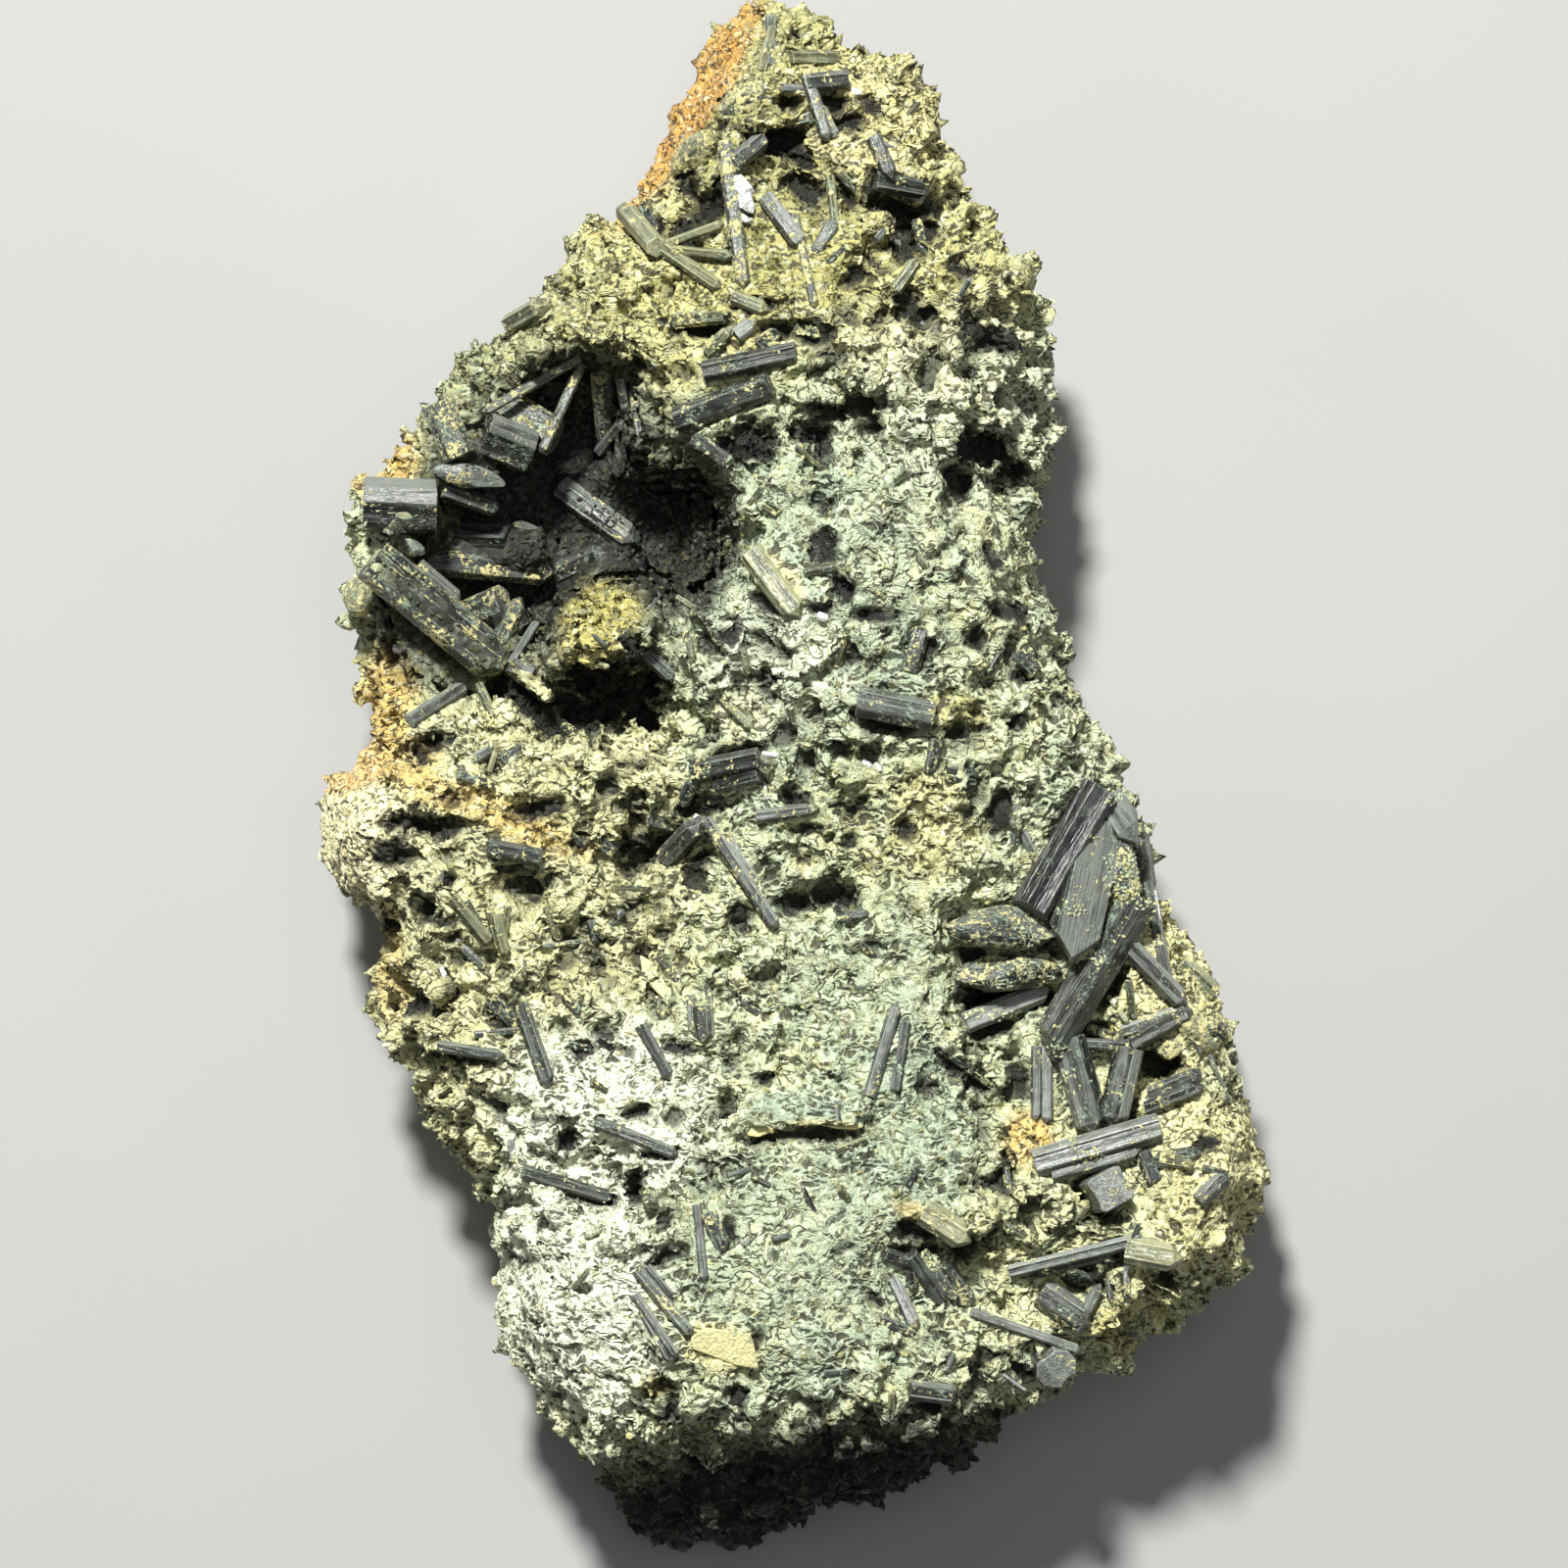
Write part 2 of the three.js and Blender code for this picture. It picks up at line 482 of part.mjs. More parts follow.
// Rows of points inside the outline, a little out of line, where wanted says so.
function fillWithPoints(step, wanted) {
  const box = new THREE.Box2().setFromPoints(edge.map(([x, y]) => new THREE.Vector2(x, y)));
  const rowStep = (step * Math.sqrt(3)) / 2;
  const points = [];
  for (let row = Math.floor(box.min.y / rowStep); row * rowStep < box.max.y; row += 1) {
    for (let column = Math.floor(box.min.x / step); column * step < box.max.x; column += 1) {
      const stagger = row % 2 === 0 ? 0 : 0.5;
      const shiftX = OUT_OF_LINE * (scatter(column, row, CORNER_LAYERS.across) - 0.5);
      const shiftY = OUT_OF_LINE * (scatter(column, row, CORNER_LAYERS.along) - 0.5);
      const x = step * (column + stagger + shiftX);
      const y = rowStep * row + step * shiftY;
      const clear = distanceToEdge(x, y) > EDGE_MARGIN * OUTLINE_STEP;
      if (wanted(x, y) && clear && insideOutline(x, y)) {
        points.push([x, y]);
      }
    }
  }
  return points;
}

function circleRound([ax, ay], [bx, by], [cx, cy]) {
  const d = 2 * (ax * (by - cy) + bx * (cy - ay) + cx * (ay - by));
  const a = ax * ax + ay * ay;
  const b = bx * bx + by * by;
  const c = cx * cx + cy * cy;
  const x = (a * (by - cy) + b * (cy - ay) + c * (ay - by)) / d;
  const y = (a * (cx - bx) + b * (ax - cx) + c * (bx - ax)) / d;
  return { x, y, squared: (ax - x) ** 2 + (ay - y) ** 2 };
}

// Delaunay triangles of the points, anticlockwise seen from above, by adding one at a time.
function triangulate(points) {
  const all = [...points, [-FAR_AWAY, -FAR_AWAY], [FAR_AWAY, -FAR_AWAY], [0, FAR_AWAY]];
  const start = [points.length, points.length + 1, points.length + 2];
  let triangles = [{ corners: start, circle: circleRound(...start.map((i) => all[i])) }];
  points.forEach(([x, y], index) => {
    const open = new Map();
    const kept = [];
    for (const triangle of triangles) {
      const { circle, corners } = triangle;
      if ((x - circle.x) ** 2 + (y - circle.y) ** 2 >= circle.squared) {
        kept.push(triangle);
        continue;
      }
      corners.forEach((a, side) => {
        const b = corners[(side + 1) % 3];
        if (!open.delete(`${b} ${a}`)) {
          open.set(`${a} ${b}`, [a, b]);
        }
      });
    }
    for (const [a, b] of open.values()) {
      const corners = [a, b, index];
      kept.push({ corners, circle: circleRound(...corners.map((i) => all[i])) });
    }
    triangles = kept;
  });
  return triangles.map(({ corners }) => corners).filter((c) => Math.max(...c) < points.length);
}

function middleOf(corners, points) {
  const x = corners.reduce((total, i) => total + points[i][0], 0) / corners.length;
  const y = corners.reduce((total, i) => total + points[i][1], 0) / corners.length;
  return [x, y];
}

// A closed solid from corner places and triangles that face outwards.
function solidFrom(positions, triangles) {
  const mesh = new wasm.Mesh({
    numProp: 3,
    vertProperties: new Float32Array(positions.flat()),
    triVerts: new Uint32Array(triangles.flat()),
  });
  return new wasm.Manifold(mesh);
}

function solidOf(geometry) {
  const bare = geometry.clone();
  bare.deleteAttribute("normal");
  bare.deleteAttribute("uv");
  const merged = mergeVertices(bare, MERGE_DISTANCE);
  const mesh = new wasm.Mesh({
    numProp: 3,
    vertProperties: new Float32Array(merged.attributes.position.array),
    triVerts: new Uint32Array(merged.index.array),
  });
  return new wasm.Manifold(mesh);
}

const facePoints = [
  ...edge,
  ...fillWithPoints(POCKET_STEP, (x, y) => pocketDepth(x, y) > FINE_FROM_DEPTH),
  ...fillWithPoints(PLAIN_STEP, (x, y) => pocketDepth(x, y) <= FINE_FROM_DEPTH),
];
const faceTriangles = triangulate(facePoints).filter((corners) => {
  return insideOutline(...middleOf(corners, facePoints));
});

// The slab: its face, rings down the broken sides, and the flat back.
function makeSlab() {
  const positions = facePoints.map(([x, y]) => [x, y, ground(x, y)]);
  const triangles = [...faceTriangles];
  const count = edge.length;
  let above = 0;
  for (const ring of SIDE_RINGS) {
    const below = positions.length;
    edge.forEach(([x, y], i) => {
      const middle = Math.sin(Math.PI * ring.height);
      const bulge = middle * swell(SIDE_LUMPS, i * OUTLINE_STEP, ring.height * FACE_HEIGHT);
      const away = new THREE.Vector2(x, y).normalize().multiplyScalar(bulge);
      const across = blend(1, BACK_SHARE_ACROSS, ring.inset);
      const along = blend(1, BACK_SHARE_ALONG, ring.inset);
      positions.push([x * across + away.x, y * along + away.y, positions[i][2] * ring.height]);
    });
    for (let i = 0; i < count; i += 1) {
      const next = (i + 1) % count;
      triangles.push([above + i, above + next, below + i]);
      triangles.push([above + next, below + next, below + i]);
    }
    above = below;
  }
  const back = positions.slice(above).map(([x, y]) => new THREE.Vector2(x, y));
  for (const [a, b, c] of THREE.ShapeUtils.triangulateShape(back, [])) {
    triangles.push([above + a, above + c, above + b]);
  }
  return solidFrom(positions, triangles);
}

// A lumpy lining on the pocket's floor and walls.
function makeLining() {
  const deep = facePoints.map(([x, y], i) => {
    return i >= edge.length && pocketDepth(x, y) > CRUST_EDGE_DEPTH;
  });
  const upper = faceTriangles.filter((corners) => corners.every((i) => deep[i]));
  const used = [...new Set(upper.flat())];
  const floor = used.map((i) => {
    const [x, y] = facePoints[i];
    return [x, y, ground(x, y) + GAP];
  });
  const crest = floor.map(([x, y, z]) => {
    const full = ease(pocketDepth(x, y), CRUST_EDGE_DEPTH, CRUST_FULL_DEPTH);
    const thickness = GAP + full * (CRUST_THICKNESS + swell(CRUST_LUMPS, x, y));
    return [x, y, z + thickness];
  });
  const place = new Map(used.map((i, n) => [i, n]));
  const top = upper.map((corners) => corners.map((i) => used.length + place.get(i)));
  const bottom = upper.map(([a, b, c]) => [place.get(a), place.get(c), place.get(b)]);
  const sides = new Map();
  for (const corners of bottom) {
    corners.forEach((a, side) => {
      const b = corners[(side + 1) % 3];
      if (!sides.delete(`${b} ${a}`)) {
        sides.set(`${a} ${b}`, [a, b]);
      }
    });
  }
  const walls = [...sides.values()].flatMap(([a, b]) => {
    const lift = used.length;
    return [[b, a, a + lift], [b, a + lift, b + lift]];
  });
  return solidFrom([...floor, ...crest], [...bottom, ...top, ...walls]);
}

// A crystal's section: a flattened hexagon, or a lozenge for a needle.
function section(along, wide, thick, corners) {
  return corners.map(([across, up]) => new THREE.Vector3(along, across * wide, up * thick));
}

// Sections along a crystal that lies along +X. A wedge tip ends in a short edge.
function crystalShape({ length, wide, thick, tip, needle }) {
  const corners = needle ? LOZENGE : HEXAGON;
  if (tip === "lens") {
    return new ConvexGeometry(LENS_STATIONS.flatMap(([along, share]) => {
      return section(along * length, wide * share, thick * share, corners);
    }));
  }
  if (tip === "flat") {
    return new ConvexGeometry([
      ...section(0, wide * BUTT_SHARE, thick * BUTT_SHARE, corners),
      ...section(length, wide, thick, corners),
    ]);
  }
  const shoulder = Math.max(length - TIP_SLANT * wide, length / 2);
  return new ConvexGeometry([
    ...section(0, wide * BUTT_SHARE, thick * BUTT_SHARE, corners),
    ...section(shoulder, wide, thick, corners),
    ...section(length, wide * TIP_SHARE, 0, [[-0.5, 0], [0.5, 0]]),
  ]);
}

// Turns a shape that lies along +X to where its crystal grew.
function setDown(shape, { from, to, roll = 0 }) {
  const along = new THREE.Vector3(...to).sub(new THREE.Vector3(...from)).normalize();
  const across = new THREE.Vector3(0, 0, 1).cross(along).normalize();
  const up = new THREE.Vector3().crossVectors(along, across);
  shape.rotateX(degrees(roll));
  shape.applyMatrix4(new THREE.Matrix4().makeBasis(along, across, up));
  shape.translate(...from);
  return solidOf(shape);
}

function lengthOf({ from, to }) {
  return new THREE.Vector3(...from).distanceTo(new THREE.Vector3(...to));
}

function crystal(row) {
  const needle = row.wide < NEEDLE_WIDTH;
  return setDown(crystalShape({ ...row, length: lengthOf(row), needle }), row);
}

// The room that a crystal leaves in the rock round it: a plain box with the gap all round.
function socket(row) {
  const length = lengthOf(row);
  const box = new THREE.BoxGeometry(length + 2 * GAP, row.wide + 2 * GAP, row.thick + 2 * GAP);
  box.translate(length / 2, 0, 0);
  return setDown(box, row);
}

function joined(solids) {
  return solids.reduce((whole, each) => whole.add(each));
}

// A named mesh whose own origin is at its seat.
function piece(name, solid, finish, seat) {
  const { vertProperties, triVerts } = solid.getMesh();
  const geometry = new THREE.BufferGeometry();
  geometry.setAttribute("position", new THREE.BufferAttribute(vertProperties.slice(), 3));
  geometry.setIndex(new THREE.BufferAttribute(triVerts.slice(), 1));
  geometry.translate(-seat[0], -seat[1], -seat[2]);
  geometry.computeVertexNormals();
  const material = new THREE.MeshStandardMaterial({ ...FINISHES[finish], flatShading: true });
  const mesh = new THREE.Mesh(geometry, material);
  mesh.name = name;
  mesh.position.set(...seat);
  return mesh;
}

const group = new THREE.Group();
let sockets = joined(POCKET_CRYSTALS.map(socket));
let matrix = makeSlab().add(joined(FUSED_CRYSTALS.map(crystal))).subtract(sockets);
const crust = makeLining().add(joined(POCKET_CRYSTALS.map(crystal)));
group.add(piece("pocket_crust", crust, "crust", POCKET_CRYSTALS[0].from));
for (const [name, { finish, crystals }] of Object.entries(CRYSTAL_GROUPS)) {
  const solid = joined(crystals.map(crystal)).subtract(sockets);
  const room = joined(crystals.map(socket));
  matrix = matrix.subtract(room);
  sockets = sockets.add(room);
  group.add(piece(name, solid, finish, crystals[0].from));
}
group.add(piece("matrix", matrix, "matrix", [0, 0, 0]));

// The origin is under the middle of the whole, on the surface that it rests on.
const box = new THREE.Box3().setFromObject(group);
const middle = box.getCenter(new THREE.Vector3());
group.position.set(-middle.x, -middle.y, -box.min.z);

export default group;
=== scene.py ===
"""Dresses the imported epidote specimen: granular rock, grown crystals, a dark pocket and a stage.

Places and sizes in the tables are millimetres in the drawing that the solids were made from.
"""

import json
import math
import random

import bpy
from mathutils import Matrix, Vector, noise
from mathutils.bvhtree import BVHTree

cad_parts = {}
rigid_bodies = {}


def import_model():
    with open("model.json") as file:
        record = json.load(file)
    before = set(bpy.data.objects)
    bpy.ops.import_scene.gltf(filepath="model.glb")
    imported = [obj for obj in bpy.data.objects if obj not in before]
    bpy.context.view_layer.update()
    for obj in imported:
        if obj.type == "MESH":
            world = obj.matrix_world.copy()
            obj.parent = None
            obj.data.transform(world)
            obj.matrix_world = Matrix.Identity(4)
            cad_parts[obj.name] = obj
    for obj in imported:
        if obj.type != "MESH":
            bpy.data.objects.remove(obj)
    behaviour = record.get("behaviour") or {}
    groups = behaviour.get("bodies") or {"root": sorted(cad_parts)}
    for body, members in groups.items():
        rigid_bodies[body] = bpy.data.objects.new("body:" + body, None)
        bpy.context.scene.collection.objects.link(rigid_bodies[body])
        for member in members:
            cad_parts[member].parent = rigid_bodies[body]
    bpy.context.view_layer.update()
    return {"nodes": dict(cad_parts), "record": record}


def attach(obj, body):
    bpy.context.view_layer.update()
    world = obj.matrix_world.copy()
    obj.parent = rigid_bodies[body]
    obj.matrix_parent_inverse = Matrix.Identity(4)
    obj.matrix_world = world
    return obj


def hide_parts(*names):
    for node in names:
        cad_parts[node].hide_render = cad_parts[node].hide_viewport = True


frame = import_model()

bl_info = {
    "name": "Epidote specimen",
    "version": (1, 0, 0),
    "blender": (4, 5, 0),
    "location": "3D View > Sidebar > Specimen",
    "description": "Dresses the epidote specimen with rock, grains, crystals and a stage",
    "category": "Object",
}

MM = 0.001
DRAWING_CENTRE = (1.13816, 0.90858)
DEEPEST = 3.2


def grown(start, end, wide, thick, **more):
    """One crystal: its axis from start to end, its section's sizes, and what is special."""
    return {"start": start, "end": end, "wide": wide, "thick": thick, **more}


def lying(x0, y0, x1, y1, wide, thick, light, **more):
    """A crystal that lies on the rock. light is how pale it is, from 0 to 1, and sets its painted
    light and shade: darker on the left face, paler on the right.
    """
    tones = (light * 0.2, light * 0.6, min(1, light * 1.1), light * 0.7)
    return {"start": (x0, y0), "end": (x1, y1), "wide": wide, "thick": thick, "tones": tones,
            "dusty": 1.0 if "form" in more else 0.8, **more}


# Crystals that replace the frame's nodes. Their painted light and shade are the greys of the left,
# upper and right faces and of the tip, from 0, black, to 1, light grey.
CRYSTALS = {
    "blade_cluster": ("dark", [
        grown((30.2, -0.4, 31.3), (23.4, -12.2, 33.6), 3.6, 3.6, roll=-12, tip="flat",
              dusty=0.3, tones=(0.2, 0.3, 0.45, 0.26)),
        grown((30.4, -3.4, 31.3), (27.4, -16.8, 33.6), 5.2, 4.2, roll=10, ridge=-0.24,
              tip="diamond", dusty=0.6, tones=(0.5, 1.15, 0.95, 1.05)),
        grown((30.9, -1.4, 29.6), (33.8, -5.8, 30), 3.6, 3, tip="diamond",
              dusty=0.3, tones=(0.2, 0.7, 1.1, 0.9)),
        grown((31.6, -4.8, 29.4), (33.4, -11.8, 30.4), 3.6, 3.2, form="lens", dusty=0.85,
              tones=(0.2, 0.5, 0.7, 0.5)),
        grown((34.2, -11, 30.4), (24.9, -26, 31.4), 4, 3.4, roll=-10, ridge=0.1,
              tip="chisel", tones=(0.26, 0.2, 0.36, 0.2)),
        grown((33, -15.4, 29.9), (38.7, -21.3, 30.4), 1.9, 1.7, tones=(0.2, 0.3, 0.9, 0.4)),
        grown((27.3, -24.4, 30.3), (29.9, -33.7, 30.4), 3.3, 2.8, roll=8,
              tones=(0.75, 0.6, 0.35, 0.5)),
        grown((33.2, -25.4, 29.8), (31.4, -33.2, 30.3), 2.9, 2.6, roll=14,
              tones=(0.15, 0.3, 0.95, 0.3)),
        grown((26.6, -24.9, 29.6), (35, -25.3, 29.6), 1.2, 1.1, tones=(0.2, 0.3, 0.5, 0.3)),
        grown((33.4, -25, 30.2), (39.2, -21.7, 30.8), 1.7, 1.5, tones=(0.2, 0.5, 0.6, 0.3)),
    ]),
    "cross_prism": ("grey", [
        grown((24, -36.4, 31.8), (36.1, -32.9, 31.3), 2.8, 2.2, tip="flat",
              tones=(0.35, 0.6, 0.8, 0.5)),
        grown((25.6, -37.3, 31.5), (34.4, -35, 31), 2, 1.6, tones=(0.3, 0.6, 0.7, 0.5)),
    ]),
    "square_prism": ("grey", [
        grown((30, -39.4, 26), (31.3, -38.7, 34.6), 3.5, 3.5, tip="flat", form="square",
              tones=(0.4, 0.5, 0.5, 0.7)),
    ]),
    "upper_lens": ("dark", [
        grown((15.4, -13.6, 35.2), (26.4, -14, 31.8), 4.8, 4, form="lens", dusty=0.85,
              tones=(0.1, 0.35, 0.75, 0.3)),
    ]),
    "lower_lens": ("dark", [
        grown((16.2, -18.3, 33), (26.8, -18, 30.4), 3.9, 4.2, form="lens", dusty=0.9,
              tones=(0.1, 0.4, 0.6, 0.4)),
    ]),
    "pale_rod": ("grey", [
        grown((17.4, -23, 30.8), (25.6, -19.7, 28.2), 2.1, 1.8, tones=(0.5, 0.9, 0.9, 0.8)),
    ]),
    "long_rod": ("grey", [
        grown((21.7, -46.9, 30.2), (34.7, -43.5, 33.2), 1.4, 1.3, tones=(0.1, 0.3, 0.9, 0.5)),
        grown((23.6, -47.1, 29.8), (31.6, -44.8, 31.8), 1.3, 1.2, tones=(0.1, 0.2, 0.7, 0.3)),
    ]),
    "low_cluster": ("dark", [
        grown((24.8, -48.9, 28.8), (29.4, -52, 29.6), 3, 2.2, tones=(0.2, 0.4, 0.7, 0.6)),
        grown((28.1, -52.6, 29.4), (30.5, -48.1, 29.4), 1.4, 1.5, tones=(0.2, 0.5, 0.8, 0.6)),
    ]),
    "low_end_prism": ("grey", [
        grown((25, -54.8, 24), (26.2, -56.2, 30.6), 3.9, 3.2, tip="flat",
              tones=(0.3, 0.4, 0.5, 0.65)),
    ]),
    "short_prism": ("dark", [
        grown((12, -57.8, 35.6), (16.1, -58.4, 34.8), 2, 1.7, tip="flat",
              tones=(0.1, 0.3, 0.75, 0.5)),
    ]),
    "middle_prisms": ("dark", [
        grown((-8.8, 1.1, 35), (-2.3, 2.4, 37), 2.3, 1.9, tip="flat",
              tones=(0.05, 0.15, 0.45, 0.4)),
        grown((-6.6, -0.1, 35.2), (-2.3, 0.9, 36.8), 1.6, 1.4, tip="flat",
              tones=(0.05, 0.15, 0.4, 0.4)),
    ]),
    "middle_blade": ("grey", [
        grown((-7.5, -3.4, 34.6), (-0.7, -13.7, 35.8), 1.3, 1.1, dusty=0.8,
              tones=(0.05, 0.3, 0.95, 0.5)),
    ]),
    "middle_stub": ("dark", [
        grown((-11.3, -7.1, 29.6), (-7.9, -3.6, 34.2), 2.3, 2, tones=(0.2, 0.4, 0.6, 0.6)),
    ]),
    "ridge_prism": ("dark", [
        grown((7, 7.9, 40), (14.2, 6.4, 39.6), 3, 2, tip="flat", roll=-10,
              tones=(0.1, 0.5, 0.8, 0.5)),
    ]),
    "left_prism": ("dark", [
        grown((-28.2, -6, 37), (-23.1, -7.1, 36.3), 1.8, 1.7, tip="flat",
              tones=(0.1, 0.35, 0.6, 0.5)),
    ]),
    "left_blade": ("dark", [
        grown((-25.2, -21, 34.7), (-22.5, -28.8, 34.6), 1.6, 1.4, tones=(0.1, 0.4, 0.8, 0.5)),
    ]),
    "lower_blades": ("grey", [
        grown((-14, -46.2, 37.9), (-8.8, -52.4, 38.6), 1.2, 1.2, dusty=0.8,
              tones=(0.1, 0.6, 0.9, 0.6)),
        grown((-14.2, -48.6, 37.8), (-10.2, -54.6, 38.2), 0.9, 1, tones=(0.1, 0.4, 0.9, 0.5)),
        grown((-13, -45.9, 37.9), (-10.6, -48.8, 38.3), 0.7, 0.8, tones=(0.1, 0.4, 0.8, 0.5)),
    ]),
    "top_blade": ("grey", [
        grown((-5.7, 61.5, 33.2), (-3.9, 47.4, 36.7), 1.5, 1.3, dusty=0.9,
              tones=(0.1, 0.4, 0.6, 0.4)),
        grown((-5, 59.2, 33.9), (-1.8, 62.1, 30.4), 1.9, 1.6, tones=(0.1, 0.3, 0.5, 0.3)),
    ]),
    "white_grain": ("white", [
        grown((-4.6, 57.8, 34), (-3.4, 56.4, 34.9), 1.5, 1.5, roll=20, tip="flat",
              tones=(0.9, 1, 1.2, 1)),
        grown((-4, 57, 34.2), (-3.4, 54.6, 35), 1.6, 1.3, roll=40, tones=(0.8, 1, 1.2, 1)),
        grown((-4.3, 54.3, 34.8), (-3.3, 53.7, 35), 0.7, 0.6, tones=(0.9, 1, 1.2, 1)),
    ]),
    "stacked_prisms": ("dark", [
        grown((2.1, 67.4, 29.1), (6.2, 67.9, 28.1), 1.9, 1.7, tip="flat",
              tones=(0.1, 0.3, 0.6, 0.5)),
        grown((2.2, 68.2, 28.8), (4.2, 61.9, 30.3), 1.3, 1.2, tones=(0.4, 0.6, 0.8, 0.6)),
    ]),
    "top_pair": ("grey", [
        grown((-1.8, 56.2, 33.8), (1.8, 51.3, 35.8), 1.7, 1.3, tones=(0.2, 0.6, 0.9, 0.5)),
        grown((1, 54.4, 34.4), (2.9, 45.5, 38.1), 0.9, 0.9, dusty=0.9,
              tones=(0.1, 0.4, 0.7, 0.4)),
    ]),
    "fan_prisms": ("olive", [
        grown((-11.5, 51.3, 33), (-6, 47.3, 36.3), 1.3, 1.1, tones=(0.3, 0.6, 0.8, 0.6)),
        grown((-11.1, 51.1, 33.1), (-4.8, 50.4, 36.1), 1.1, 1, tones=(0.2, 0.6, 0.8, 0.6)),
        grown((-11.2, 51.7, 32.6), (-5.8, 53.6, 34.1), 1, 1, tones=(0.2, 0.6, 0.9, 0.6)),
    ]),
    "olive_block": ("olive", [
        grown((-15.4, 55.6, 21.4), (-12.2, 51.4, 32.8), 2.1, 1.8, tip="flat",
              tones=(0.4, 0.6, 0.8, 0.8)),
    ]),
    "band_prism": ("dark", [
        grown((-7.7, 39.3, 36.9), (1.2, 41.1, 38.5), 2.1, 1.7, tip="flat",
              tones=(0.1, 0.3, 0.5, 0.4)),
    ]),
    "band_blade": ("dark", [
        grown((-10.3, 34.7, 35.6), (-1.2, 38, 38.3), 2.6, 2, tip="flat",
              tones=(0.05, 0.25, 0.5, 0.3)),
    ]),
}

POCKET_CRYSTALS = [
    grown((-40.5, 27, 28.2), (-33.4, 26.7, 28), 4.9, 4.4, roll=30, tip="flat",
          dusty=0.5, tones=(0.1, 0.4, 0.75, 0.5)),
    grown((-31.6, 23.9, 19), (-26.4, 23.6, 20.6), 3.4, 3.2, roll=24, tip="flat",
          dusty=0.35, tones=(0.02, 0.06, 0.4, 0.1)),
    grown((-28.2, 23.2, 19), (-22.9, 22.8, 20), 5.4, 4.6, form="lens", dusty=0.6,
          tones=(0.4, 0.6, 0.6, 0.5)),
    grown((-34.8, 21.6, 21.4), (-22.4, 20.5, 19), 2.6, 2.4, dusty=0.8,
          tones=(0.1, 0.3, 0.4, 0.3)),
    grown((-29, 33.8, 27), (-24.4, 32, 25.6), 4.6, 3, tip="flat", roll=30,
          dusty=0.7, tones=(0.1, 0.4, 0.7, 0.5)),
    grown((-27.6, 36.8, 23), (-22, 33.4, 24.4), 3.8, 3, tip="flat", roll=-12,
          dusty=0.85, tones=(0.1, 0.5, 0.6, 0.6)),
    grown((-33, 28.4, 26.6), (-27.6, 26.6, 24), 1.8, 1.7, tones=(0.1, 0.3, 0.5, 0.3)),
    grown((-21.9, 29, 16.4), (-14.4, 23.5, 18.2), 2.7, 2.1, roll=12,
          dusty=0.62, tones=(0.2, 0.6, 1.1, 0.7)),
    grown((-39.6, 21.6, 29.8), (-27, 11, 27.2), 4.4, 3.4, roll=-10, ridge=0.08,
          dusty=0.85, tones=(0.1, 0.35, 0.5, 0.3), strands=2),
    grown((-35.2, 21.1, 28.8), (-31.2, 17.7, 27.6), 1.4, 1.2, tones=(0.3, 0.8, 1, 0.8)),
    grown((-31, 16.2, 20.4), (-27.2, 17.8, 22.6), 3.2, 3, tip="flat",
          dusty=0.85, tones=(0.2, 0.4, 0.5, 0.7)),
    grown((-27.6, 13.6, 23), (-25.6, 18, 23.6), 2, 1.6, dusty=0.85, tones=(0.2, 0.5, 0.5, 0.6)),
    grown((-26.3, 11.5, 28.6), (-22.1, 8, 27.2), 1.8, 1.5, tones=(0.1, 0.5, 0.8, 0.5)),
    grown((-19.6, 40.6, 24.4), (-23.4, 32, 26.8), 1, 0.9, dusty=0.8, tones=(0.4, 0.7, 0.9, 0.5)),
    grown((-19.8, 41.2, 24.8), (-29, 35.8, 27.6), 1, 0.9, dusty=0.8, tones=(0.4, 0.8, 0.9, 0.5)),
    grown((-17.8, 39.8, 23), (-17.3, 33, 16.8), 2, 1.7, dusty=0.85, tones=(0.4, 0.5, 0.7, 0.5)),
    grown((-22, 20.6, 15.9), (-17.2, 22.6, 18.4), 2.4, 2, tones=(0.2, 0.3, 0.5, 0.5)),
    grown((-26.4, 11.5, 27.6), (-23.8, 15.8, 25), 0.9, 0.8, tones=(0.4, 0.8, 0.9, 0.6)),
    grown((-33.4, 36.6, 27.6), (-31.2, 31.4, 28.2), 3.2, 2.8, tip="flat", dusty=0.9,
          tones=(0.3, 0.6, 0.7, 0.5)),
    grown((-33.8, 30.3, 28.4), (-26.9, 28.9, 27), 2.6, 2.2, form="lens", dusty=0.62,
          tones=(0.6, 0.8, 1, 0.6)),
    grown((-38.4, 23.8, 27.6), (-34.6, 22.2, 27.4), 2, 1.8, form="lens", dusty=0.9,
          tones=(0.5, 0.8, 0.9, 0.6)),
    grown((-25.1, 11.4, 29), (-24.1, 10.7, 28.9), 1, 0.8, tones=(1.2, 1.5, 1.8, 1.6), tip="flat"),
    grown((-18, 32.5, 17), (-15.6, 35.2, 21.6), 1.2, 1.1, tones=(0.3, 0.6, 0.8, 0.6)),
]

